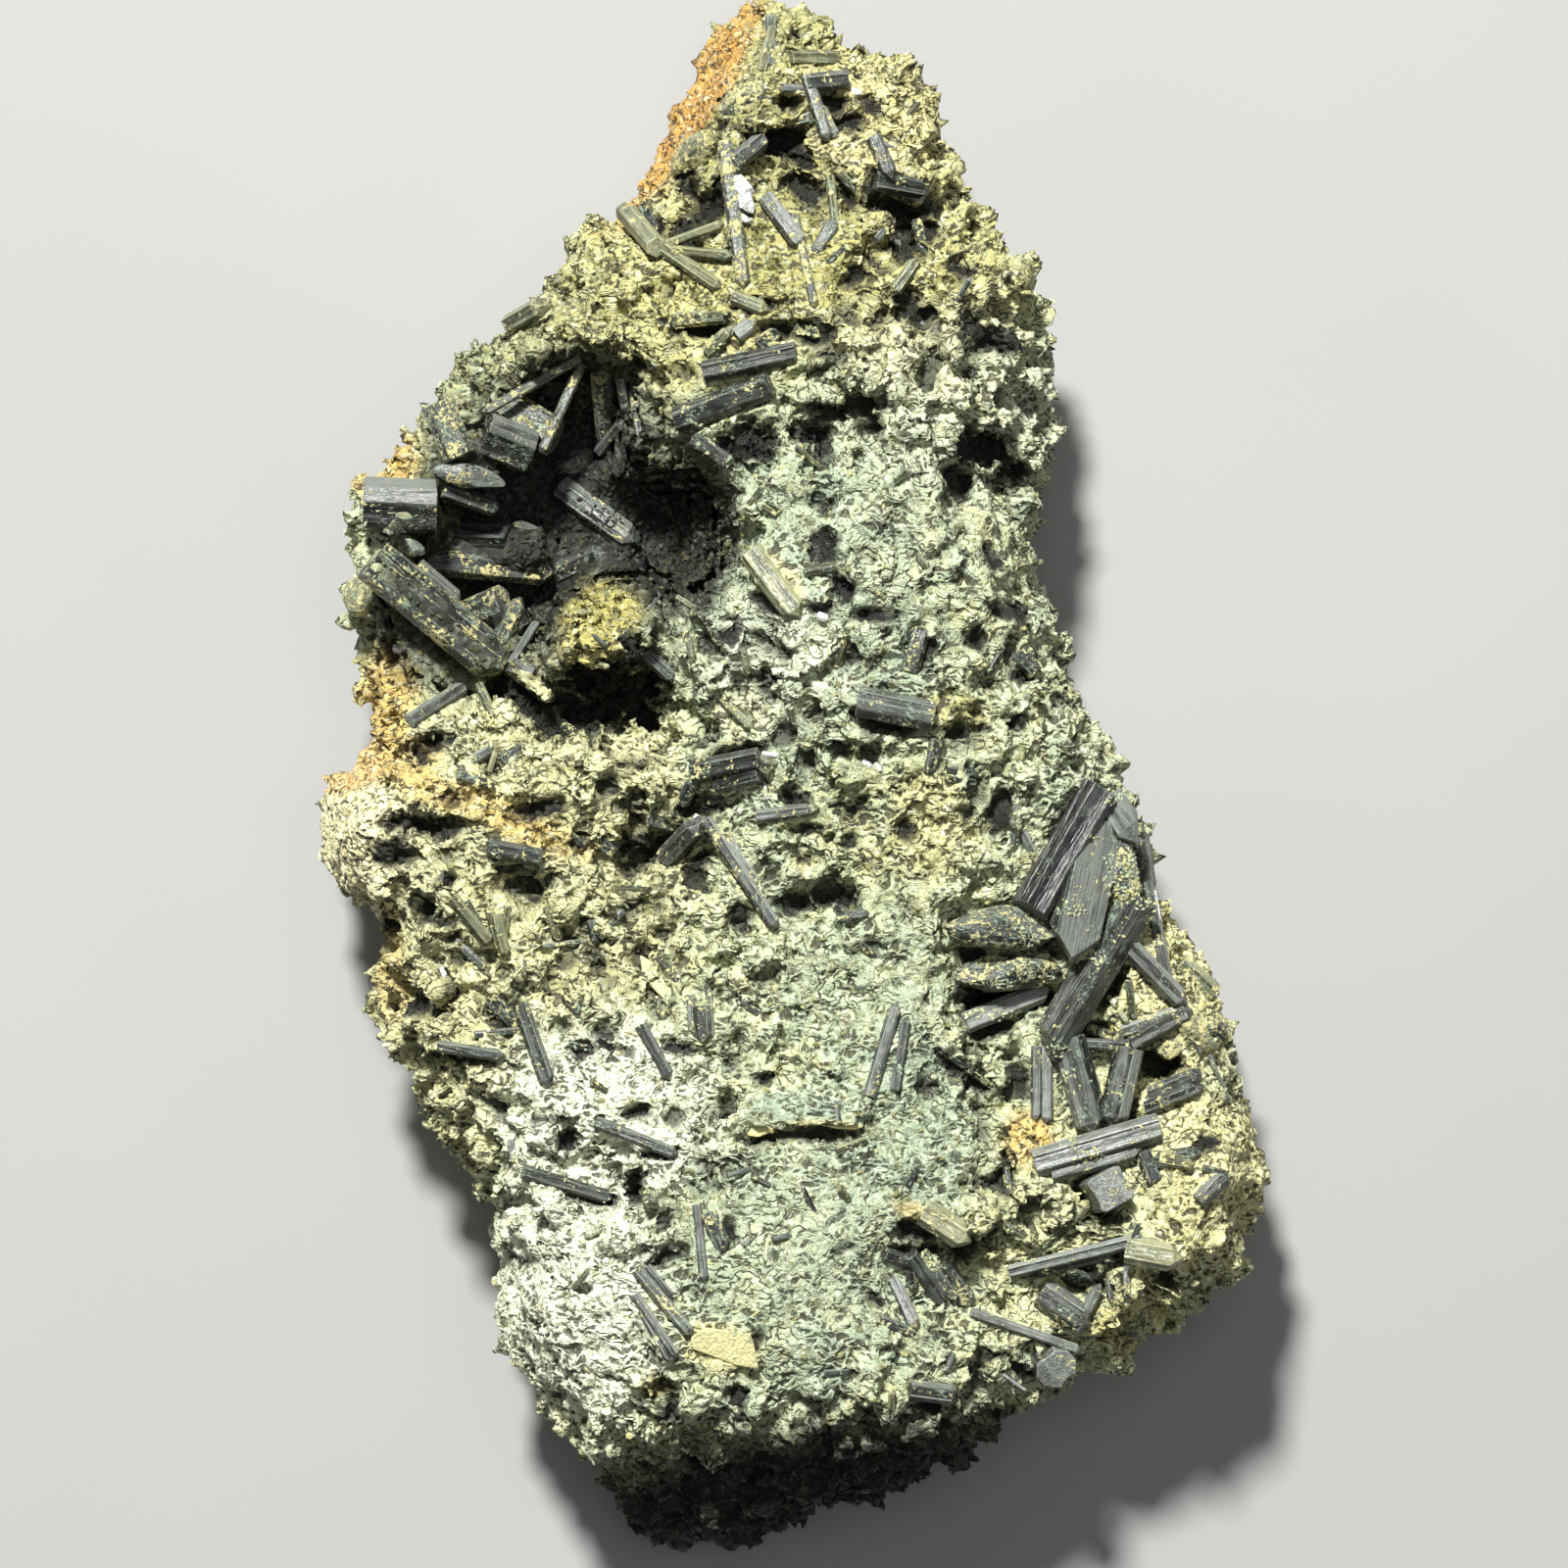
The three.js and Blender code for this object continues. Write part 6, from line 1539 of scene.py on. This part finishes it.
def cut_across(piece, level, upper):
    """Keeps one side of the piece, closed by a wall that leans inwards to a flat foot."""
    piece.data.transform(Matrix.Scale(1 / MM, 4))
    edit(piece)
    bpy.ops.mesh.bisect(plane_co=(0, level, 0), plane_no=(0, 1, 0), clear_inner=upper,
                        clear_outer=not upper, threshold=0.0005)
    bpy.ops.mesh.select_all(action="DESELECT")
    bpy.ops.mesh.select_mode(type="EDGE")
    bpy.ops.mesh.select_non_manifold(extend=False)
    bpy.ops.mesh.extrude_edges_move()
    done()
    moved = {vertex.index for vertex in piece.data.vertices if vertex.select}
    lowest = [piece.data.vertices[index].co.x for index in moved
              if piece.data.vertices[index].co.z < WALL_FOOT]
    left, right = min(lowest) + WALL_FOOT, max(lowest) - WALL_FOOT
    for index in moved:
        place = piece.data.vertices[index].co
        lean = WALL_FOOT * min(max(place.z / WALL_FOOT - 1, 0.0) / 5, 1.0)
        place.y += lean if upper else -lean
        within = min(max(place.x, left), right)
        place.x = within + (place.x - within) * 0.02
        place.z = WALL_FOOT
    for face in piece.data.polygons:
        if not moved.isdisjoint(face.vertices):
            face.use_smooth = False
    bpy.ops.object.mode_set(mode="EDIT")
    bpy.ops.mesh.fill_holes(sides=0)
    bpy.ops.mesh.select_all(action="SELECT")
    bpy.ops.mesh.normals_make_consistent(inside=False)
    bpy.ops.mesh.select_mode(type="VERT")
    done()
    piece.data.transform(Matrix.Scale(MM, 4))


def split_rock(piece):
    """Cuts the rock across into closed pieces."""
    parts = []
    for name, level in ROCK_CUTS.items():
        part = bpy.data.objects.new(name, piece.data.copy())
        bpy.context.scene.collection.objects.link(part)
        part.data.name = name
        cut_across(part, drawn(0, level).y / MM, True)
        cut_across(piece, drawn(0, level).y / MM, False)
        parts.append(part)
    return [*parts, piece]


def make_plates(tree):
    """Flat plates cut to their outlines, bedded on the rock."""
    made = []
    for outline, thick, upper, lower in PLATES:
        low_y, high_y = min(y for _, y in outline), max(y for _, y in outline)
        mid_x = sum(x for x, _ in outline) / len(outline)
        levels = [height(tree, mid_x, low_y) + lower, height(tree, mid_x, high_y) + upper]
        deselect()
        bpy.ops.mesh.primitive_circle_add(vertices=len(outline), fill_type="NGON")
        obj = bpy.context.active_object
        for vertex, (x, y) in zip(obj.data.vertices, outline):
            share = (y - low_y) / (high_y - low_y)
            vertex.co = drawn(x, y, levels[0] + (levels[1] - levels[0]) * share)
        edit(obj)
        bpy.ops.mesh.normals_make_consistent(inside=False)
        bpy.ops.mesh.extrude_region_move(
            TRANSFORM_OT_translate={"value": (0, 0, -(thick + 1.2) * MM)})
        bpy.ops.mesh.select_all(action="SELECT")
        bpy.ops.mesh.normals_make_consistent(inside=False)
        bpy.ops.mesh.bevel(offset=0.16 * MM, segments=2, affect="EDGES")
        done()
        edge = obj.data.attributes.new("edge", "FLOAT", "FACE")
        for face in obj.data.polygons:
            edge.data[face.index].value = 0.0 if face.normal.z > 0.9 else 0.8
        made.append(obj)
    piece = join(made, "plates")
    piece.data.materials.append(finish("plate"))
    return piece


def grain_shapes():
    """A few small uneven grains with a handful of faces each."""
    shapes = []
    for number, (sides, rings, length, wide, thick) in enumerate((
            (4, 2, 1.0, 0.7, 0.62), (4, 2, 0.85, 0.8, 0.7), (5, 2, 0.95, 0.7, 0.6),
            (3, 3, 1.1, 0.55, 0.5), (4, 3, 0.75, 0.62, 0.6), (4, 2, 1.3, 0.55, 0.55))):
        deselect()
        bpy.ops.mesh.primitive_uv_sphere_add(segments=sides, ring_count=rings, radius=0.5)
        obj = bpy.context.active_object
        edit(obj)
        bpy.ops.transform.vertex_random(offset=0.09, seed=number + 3)
        bpy.ops.mesh.normals_make_consistent(inside=False)
        done()
        if number == 4:
            bpy.ops.object.shade_smooth()
        obj.data.transform(Matrix.Rotation(math.radians(90), 4, "Y"))
        obj.data.transform(Matrix.Diagonal((length * MM, wide * MM, thick * MM, 1)))
        obj.name = f"grain_shape_{number}"
        shapes.append(obj)
    return shapes


def stray_shapes(crystal):
    """Small grooved crystals to scatter, each in a finish of its own."""
    shapes = []
    for number, (length, wide, thick, tip, look) in enumerate((
            (2.4, 0.6, 0.5, "wedge", "dark"), (2.8, 0.55, 0.5, "flat", "olive"),
            (1.8, 0.7, 0.6, "wedge", "olive"), (2.2, 0.7, 0.6, "flat", "dark"),
            (3, 0.5, 0.45, "wedge", "grey"), (1.6, 0.9, 0.7, "flat", "olive"))):
        x, y = DRAWING_CENTRE
        row = grown((x, y, -0.15), (x + length, y, -0.15), wide, thick, tip=tip,
                    tones=(0.2, 0.45, 0.75, 0.6))
        shapes.append(grow_all(crystal, [row], f"stray_shape_{number}", look))
    return shapes


def put_away(shapes, name):
    """Moves shapes to a collection of their own for scattering."""
    collection = bpy.data.collections.new(name)
    for shape in shapes:
        for shown_in in list(shape.users_collection):
            shown_in.objects.unlink(shape)
        collection.objects.link(shape)
    return collection


class Scatter:
    """Geometry nodes that scatter a collection's shapes over a mesh and make them real."""

    def __init__(self, name, collection, material, spacing, density, seed):
        self.tree = bpy.data.node_groups.new(name, "GeometryNodeTree")
        for way in ("INPUT", "OUTPUT"):
            self.tree.interface.new_socket("Geometry", in_out=way,
                                           socket_type="NodeSocketGeometry")
        self.collection = collection
        self.material = material
        self.spacing = spacing
        self.density = density
        self.seed = seed

    def add(self, kind, settings=None):
        node = self.tree.nodes.new(kind)
        for name, value in (settings or {}).items():
            setattr(node, name, value)
        return node

    def link(self, output, node, name):
        self.tree.links.new(output, node.inputs[name])

    def math(self, operation, first, second):
        node = self.add("ShaderNodeMath", {"operation": operation})
        for index, value in enumerate((first, second)):
            if isinstance(value, bpy.types.NodeSocket):
                self.tree.links.new(value, node.inputs[index])
            else:
                node.inputs[index].default_value = value
        return node.outputs[0]

    def patches(self, size, low, high):
        """A selection that comes and goes over the surface in patches."""
        noise = self.add("ShaderNodeTexNoise")
        noise.inputs["Scale"].default_value = 1 / size
        fade = self.add("ShaderNodeMapRange")
        self.link(noise.outputs[0], fade, 0)
        fade.inputs[1].default_value = low
        fade.inputs[2].default_value = high
        return fade.outputs[0]

    def chance(self, low, high, seed, kind="FLOAT"):
        node = self.add("FunctionNodeRandomValue", {"data_type": kind})
        first, out = {"FLOAT_VECTOR": (0, 0), "FLOAT": (2, 1), "INT": (4, 2)}[kind]
        node.inputs[first].default_value = low
        node.inputs[first + 1].default_value = high
        node.inputs["Seed"].default_value = self.seed * 10 + seed
        return node.outputs[out]

    def build(self, region, tilt, sizes, clear_of=None, clearance=0.0, keep=None):
        """region and keep give a selection's socket: region of the mesh's faces, from
        position and normal, and keep of the points, from position."""
        start = self.add("NodeGroupInput")
        end = self.add("NodeGroupOutput")
        scatter = self.add("GeometryNodeDistributePointsOnFaces",
                           {"distribute_method": "POISSON"})
        self.link(start.outputs[0], scatter, "Mesh")
        scatter.inputs["Distance Min"].default_value = self.spacing
        scatter.inputs["Density Max"].default_value = self.density
        scatter.inputs["Seed"].default_value = self.seed
        position = self.add("ShaderNodeSeparateXYZ")
        self.link(self.add("GeometryNodeInputPosition").outputs[0], position, 0)
        normal = self.add("ShaderNodeSeparateXYZ")
        self.link(self.add("GeometryNodeInputNormal").outputs[0], normal, 0)
        chosen = region(self, position.outputs, normal.outputs)
        self.link(chosen, scatter, "Density Factor")
        points = scatter.outputs["Points"]
        if clear_of is not None:
            info = self.add("GeometryNodeObjectInfo")
            info.inputs["Object"].default_value = clear_of
            near = self.add("GeometryNodeProximity", {"target_element": "FACES"})
            self.link(info.outputs["Geometry"], near, 0)
            drop = self.add("GeometryNodeDeleteGeometry", {"domain": "POINT"})
            self.link(points, drop, "Geometry")
            inside = self.math("LESS_THAN", near.outputs["Distance"], clearance)
            self.link(inside, drop, "Selection")
            points = drop.outputs[0]
        if keep is not None:
            drop = self.add("GeometryNodeDeleteGeometry", {"domain": "POINT"})
            self.link(points, drop, "Geometry")
            self.link(self.math("LESS_THAN", keep(self, position.outputs), 0.5), drop,
                      "Selection")
            points = drop.outputs[0]
        shapes = self.add("GeometryNodeCollectionInfo")
        shapes.inputs["Collection"].default_value = self.collection
        shapes.inputs["Separate Children"].default_value = True
        shapes.inputs["Reset Children"].default_value = True
        grains = self.add("GeometryNodeInstanceOnPoints")
        self.link(points, grains, "Points")
        self.link(shapes.outputs[0], grains, "Instance")
        grains.inputs["Pick Instance"].default_value = True
        self.link(self.chance(0, len(self.collection.objects) - 1, 1, "INT"), grains,
                  "Instance Index")
        turn = self.add("FunctionNodeEulerToRotation")
        low, high = tilt
        split = self.add("ShaderNodeSeparateXYZ")
        self.link(self.chance((-math.pi, low, -0.8), (math.pi, high, 0.8), 2, "FLOAT_VECTOR"),
                  split, 0)
        heading = self.math("MULTIPLY", self.patches(0.004, 0.0, 1.0), 16.0)
        angles = self.add("ShaderNodeCombineXYZ")
        for index in (0, 1):
            self.tree.links.new(split.outputs[index], angles.inputs[index])
        self.tree.links.new(self.math("ADD", heading, split.outputs[2]), angles.inputs[2])
        self.link(angles.outputs[0], turn, 0)
        whole = self.add("FunctionNodeRotateRotation", {"rotation_space": "LOCAL"})
        self.link(scatter.outputs["Rotation"], whole, "Rotation")
        self.link(turn.outputs[0], whole, "Rotate By")
        self.link(whole.outputs[0], grains, "Rotation")
        self.link(self.chance(*sizes, 3, "FLOAT_VECTOR"), grains, "Scale")
        made = grains.outputs[0]
        for number, name in enumerate(("grain_tone", "grain_hue")):
            keep = self.add("GeometryNodeStoreNamedAttribute",
                            {"data_type": "FLOAT", "domain": "INSTANCE"})
            self.link(made, keep, "Geometry")
            keep.inputs["Name"].default_value = name
            self.link(self.chance(0.0, 1.0, 4 + number), keep, "Value")
            made = keep.outputs[0]
        real = self.add("GeometryNodeRealizeInstances")
        self.link(made, real, 0)
        made = real.outputs[0]
        if self.material:
            paint = self.add("GeometryNodeSetMaterial")
            self.link(made, paint, "Geometry")
            paint.inputs["Material"].default_value = finish(self.material)
            made = paint.outputs[0]
        self.link(made, end, 0)


def scatter_on(ground, name, scatter):
    """A piece made of what the nodes scatter over a copy of the ground's mesh."""
    piece = bpy.data.objects.new(name, ground.data.copy())
    bpy.context.scene.collection.objects.link(piece)
    modifier = piece.modifiers.new("scatter", "NODES")
    modifier.node_group = scatter.tree
    apply_modifiers(piece)
    piece.data.name = name
    return piece


def between(scatter, value, low, high):
    above = scatter.math("GREATER_THAN", value, low)
    below = scatter.math("LESS_THAN", value, high)
    return scatter.math("MULTIPLY", above, below)


WALL_FOOT = 3.0
ROCK_CUTS = {"matrix_tip": 33, "matrix_shoulder": 4, "matrix_middle": -31}
GRAIN_BANDS = {"grains_tip": (33, 99), "grains_shoulder": (4, 33), "grains_middle": (-26, 4),
               "grains_foot": (-99, -26)}
SIDE_NORMAL = 0.25
BACK_LEVEL = 1.2


def make_grains(rock, ground, crystals):
    shapes = put_away(grain_shapes(), "grain_shapes")
    size = rock.grain_size
    sizes = ((0.5 * size, 0.5 * size, 0.4 * size), (1.1 * size, 1.15 * size, 0.9 * size))
    made = []
    for number, (name, (low, high)) in enumerate(GRAIN_BANDS.items()):
        low_y, high_y = drawn(0, low).y, drawn(0, high).y

        def region(nodes, position, normal):
            band = between(nodes, position["Y"], low_y, high_y)
            upward = nodes.math("GREATER_THAN", normal["Z"], SIDE_NORMAL)
            return nodes.math("MULTIPLY", band, upward)

        scatter = Scatter(name, shapes, "grains", rock.spacing, 1e7, rock.seed + number)
        scatter.build(region, (-0.6, 0.6), sizes, crystals, 0.00018)
        made.append(scatter_on(ground, name, scatter))

    def sides(nodes, position, normal):
        clear = nodes.math("GREATER_THAN", position["Z"], BACK_LEVEL * MM)
        outward = between(nodes, normal["Z"], -0.9, SIDE_NORMAL)
        return nodes.math("MULTIPLY", clear, outward)

    scatter = Scatter("grains_sides", shapes, "grains", rock.spacing, 4e6, rock.seed + 9)
    large = tuple(tuple(1.1 * c for c in corner) for corner in sizes)
    scatter.build(sides, (-0.3, 0.4), large, crystals, 0.00035)
    made.append(scatter_on(ground, "grains_sides", scatter))
    return made


def make_strays(rock, crystal, ground, crystals):
    shapes = put_away(stray_shapes(crystal), "stray_shapes")

    def region(nodes, position, normal):
        upward = nodes.math("GREATER_THAN", normal["Z"], 0.8)
        upward = nodes.math("MULTIPLY", upward,
                            nodes.math("GREATER_THAN", position["Z"], 0.026))
        return nodes.math("MULTIPLY", upward, nodes.patches(0.02, 0.35, 0.6))

    scatter = Scatter("stray_crystals", shapes, None, 0.0022, rock.strays * 2e4,
                      rock.seed + 23)
    scatter.build(region, (-0.5, 0.08), ((0.7, 0.7, 0.7), (1.25, 1.2, 1.2)), crystals, 0.0006)
    return scatter_on(ground, "stray_crystals", scatter)


def make_crust_grains(rock, crystals):
    """Small grains that stick to the crystals in patches."""
    def region(nodes, position, normal):
        return nodes.math("GREATER_THAN", normal["Z"], 0.1)

    def keep(nodes, position):
        chosen = nodes.math("GREATER_THAN", nodes.patches(0.0035, 0.62, 0.7), 0.5)
        ragged = nodes.patches(0.0018, 0.35, 0.65)
        for middle, half in CRUSTS:
            place = drawn(*middle)
            along = nodes.math("MULTIPLY", nodes.math("SUBTRACT", position["X"], place.x),
                               1 / (half[0] * MM))
            across = nodes.math("MULTIPLY", nodes.math("SUBTRACT", position["Y"], place.y),
                                1 / (half[1] * MM))
            away = nodes.math("ADD", nodes.math("MULTIPLY", along, along),
                              nodes.math("MULTIPLY", across, across))
            near = nodes.math("LESS_THAN", nodes.math("ADD", away, ragged), 1.3)
            chosen = nodes.math("MAXIMUM", chosen, near)
        return chosen

    scatter = Scatter("crust_grains", bpy.data.collections["grain_shapes"], "grains", 0.00028,
                      8e6, rock.seed + 30)
    scatter.build(region, (-0.5, 0.5), ((0.4, 0.4, 0.25), (0.75, 0.75, 0.5)), keep=keep)
    return scatter_on(crystals, "crust_grains", scatter)


def make_pocket_grains(rock, lining, crystals):
    def region(nodes, position, normal):
        return nodes.math("GREATER_THAN", normal["Z"], -0.3)

    scatter = Scatter("pocket_grains", bpy.data.collections["grain_shapes"], "grains", 0.0006,
                      4e6, rock.seed + 40)
    scatter.build(region, (-0.5, 0.6), ((0.7, 0.8, 0.7), (1.2, 1.2, 1.2)), crystals, 0.0003)
    return scatter_on(lining, "pocket_grains", scatter)


# Operators.

def settings():
    scene = bpy.context.scene
    return scene.specimen_rock, scene.specimen_crystals, scene.specimen_stage


class SPECIMEN_OT_materials(bpy.types.Operator):
    """Make the finishes of the rock, the grains and the crystals"""

    bl_idname = "specimen.materials"
    bl_label = "Finishes"

    def execute(self, context):
        make_materials(settings()[1])
        return {"FINISHED"}


class SPECIMEN_OT_crystals(bpy.types.Operator):
    """Grow the crystals that stand out from the face"""

    bl_idname = "specimen.crystals"
    bl_label = "Crystals"

    def execute(self, context):
        crystal = settings()[1]
        for node, (look, rows) in CRYSTALS.items():
            smooth = 40 if rows[0].get("form") == "lens" else None
            piece = grow_all(crystal, rows, f"{node}_grown", look, smooth)
            settle(piece, frame_slot(node), node)
        for look, rows in SMALL_CRYSTALS.items():
            piece = grow_all(crystal, rows, f"small_{look}_crystals", look)
            settle(piece, look)
        return {"FINISHED"}


class SPECIMEN_OT_pocket(bpy.types.Operator):
    """Line the pocket and grow its crystals"""

    bl_idname = "specimen.pocket"
    bl_label = "Pocket"

    def execute(self, context):
        rock, crystal, _ = settings()
        lining = node_copy("pocket_crust", "pocket_lining")
        voxel_remesh(lining, rock.voxel * 0.75)
        roughen(lining, [("lining_lumps", "VORONOI", 0.0024, -0.0009, 0.4, 1, 1)])
        lining.data.materials.append(finish("rock"))
        settle(lining, "crust", "pocket_crust")
        # Their finish is darker, as painted shade in the pocket.
        piece = grow_all(crystal, POCKET_CRYSTALS, "pocket_crystals", "pocket")
        settle(piece, "crust")
        return {"FINISHED"}


class SPECIMEN_OT_rock(bpy.types.Operator):
    """Roughen, hollow and wrinkle the rock"""

    bl_idname = "specimen.rock"
    bl_label = "Rock"

    def execute(self, context):
        crystals = all_crystals()
        make_rock(settings()[0], tree_of(crystals.name))
        bpy.data.objects.remove(crystals)
        return {"FINISHED"}


class SPECIMEN_OT_lying(bpy.types.Operator):
    """Lay small crystals and flat plates on the rock"""

    bl_idname = "specimen.lying"
    bl_label = "Lying crystals and plates"

    def execute(self, context):
        crystal = settings()[1]
        tree = tree_of("matrix_rock")
        for look, rows in LYING_CRYSTALS.items():
            piece = grow_all(crystal, [laid(tree, row) for row in rows],
                             f"lying_{look}_crystals", look, 40)
            settle(piece, look)
        settle(make_plates(tree), "matrix")
        return {"FINISHED"}


class SPECIMEN_OT_grains(bpy.types.Operator):
    """Cover the rock, the pocket and parts of the crystals with grains, and part the rock"""

    bl_idname = "specimen.grains"
    bl_label = "Grains"

    def execute(self, context):
        rock, crystal, _ = settings()
        ground = bpy.data.objects["matrix_rock"]
        crystals = all_crystals()
        pieces = [*make_grains(rock, ground, crystals),
                  make_strays(rock, crystal, ground, crystals),
                  make_crust_grains(rock, crystals),
                  make_pocket_grains(rock, bpy.data.objects["pocket_lining"], crystals)]
        bpy.data.objects.remove(crystals)
        for piece in pieces:
            settle(piece, "matrix")
        for piece in split_rock(ground):
            settle(piece, "matrix", "matrix")
        for shapes in ("grain_shapes", "stray_shapes"):
            for shape in list(bpy.data.collections[shapes].objects):
                bpy.data.objects.remove(shape)
            bpy.data.collections.remove(bpy.data.collections[shapes])
        return {"FINISHED"}


def frame_slot(node):
    """The record's slot of a node."""
    rows = frame["record"]["subparts"]
    return next(row["material_slot"] for row in rows if row["node"] == node)


def all_crystals():
    """One mesh of all grown crystals, so that grains keep clear of them."""
    copies = []
    for obj in list(bpy.context.scene.objects):
        if obj.name.endswith(("_grown", "_crystals")):
            copy = bpy.data.objects.new("keep_clear", obj.data.copy())
            bpy.context.scene.collection.objects.link(copy)
            copies.append(copy)
    return join(copies, "keep_clear")


class SPECIMEN_OT_stage(bpy.types.Operator):
    """Set the camera, the floor and the lights"""

    bl_idname = "specimen.stage"
    bl_label = "Stage"

    def execute(self, context):
        stage = settings()[2]
        make_floor(stage)
        make_camera(stage)
        make_lights(stage)
        return {"FINISHED"}


def make_floor(stage):
    deselect()
    bpy.ops.mesh.primitive_plane_add(size=6)
    floor = bpy.context.active_object
    floor.name = "floor"
    material, w, surface = new_material("floor")
    place = w.object_place()
    mottle = w.remap(w.noise(place, 9.0, 3.0), 0.3, 0.7)
    base = tuple(stage.floor)
    colour = w.mix(mottle, (*base, 1), (*[c * 0.96 for c in base], 1))
    w.feed(surface, "Base Color", colour)
    w.feed(surface, "Roughness", 0.85)
    floor.data.materials.append(material)


def make_camera(stage):
    bpy.ops.object.camera_add()
    camera = bpy.context.active_object
    camera.name = "camera"
    camera.data.lens = stage.lens
    camera.data.sensor_width = 36
    camera.data.clip_end = 50
    away = stage.lens * stage.view_width / camera.data.sensor_width
    camera.location = drawn(0, 0) + Vector((0, 0, stage.face_level + away))
    camera.rotation_euler = (0, 0, 0)
    bpy.context.scene.camera = camera


def area_light(name, place, size, power, colour):
    bpy.ops.object.light_add(type="AREA", location=place)
    light = bpy.context.active_object
    light.name = name
    light.data.shape = "DISK"
    light.data.size = size
    light.data.energy = power
    light.data.color = colour
    aim = Vector((0, 0, 0.03)) - Vector(place)
    light.rotation_euler = aim.to_track_quat("-Z", "Y").to_euler()


def make_lights(stage):
    area_light("key", (-0.2, 0.74, 1.14), 0.16, stage.key, (1, 0.995, 0.97))
    area_light("overhead", (0.2, 0.1, 1.6), 0.9, stage.overhead, (0.98, 0.99, 1))
    world = bpy.context.scene.world or bpy.data.worlds.new("studio")
    bpy.context.scene.world = world
    world.use_nodes = True
    sky = world.node_tree.nodes["Background"]
    sky.inputs["Color"].default_value = (0.98, 0.99, 1, 1)
    sky.inputs["Strength"].default_value = stage.sky
    bpy.context.scene.view_settings.view_transform = "Standard"


class SPECIMEN_PT_panel(bpy.types.Panel):
    """Lists the steps that dress the specimen."""

    bl_idname = "SPECIMEN_PT_panel"
    bl_label = "Specimen"
    bl_space_type = "VIEW_3D"
    bl_region_type = "UI"
    bl_category = "Specimen"

    def draw(self, context):
        for step in STEPS:
            self.layout.operator(step.bl_idname)
        for group in settings():
            box = self.layout.box()
            for name in group.__annotations__:
                box.prop(group, name)


STEPS = (SPECIMEN_OT_stage, SPECIMEN_OT_materials, SPECIMEN_OT_crystals, SPECIMEN_OT_pocket,
         SPECIMEN_OT_rock, SPECIMEN_OT_lying, SPECIMEN_OT_grains)
GROUPS = {"specimen_rock": RockSettings, "specimen_crystals": CrystalSettings,
          "specimen_stage": StageSettings}


def register():
    for name, group in GROUPS.items():
        bpy.utils.register_class(group)
        setattr(bpy.types.Scene, name, bpy.props.PointerProperty(type=group))
    for step in STEPS:
        bpy.utils.register_class(step)
    bpy.utils.register_class(SPECIMEN_PT_panel)


def unregister():
    bpy.utils.unregister_class(SPECIMEN_PT_panel)
    for step in reversed(STEPS):
        bpy.utils.unregister_class(step)
    for name, group in GROUPS.items():
        delattr(bpy.types.Scene, name)
        bpy.utils.unregister_class(group)


def main():
    register()
    bpy.ops.specimen.stage()
    bpy.ops.specimen.materials()
    bpy.ops.specimen.crystals()
    bpy.ops.specimen.pocket()
    bpy.ops.specimen.rock()
    bpy.ops.specimen.lying()
    bpy.ops.specimen.grains()


if __name__ == "__main__":
    main()
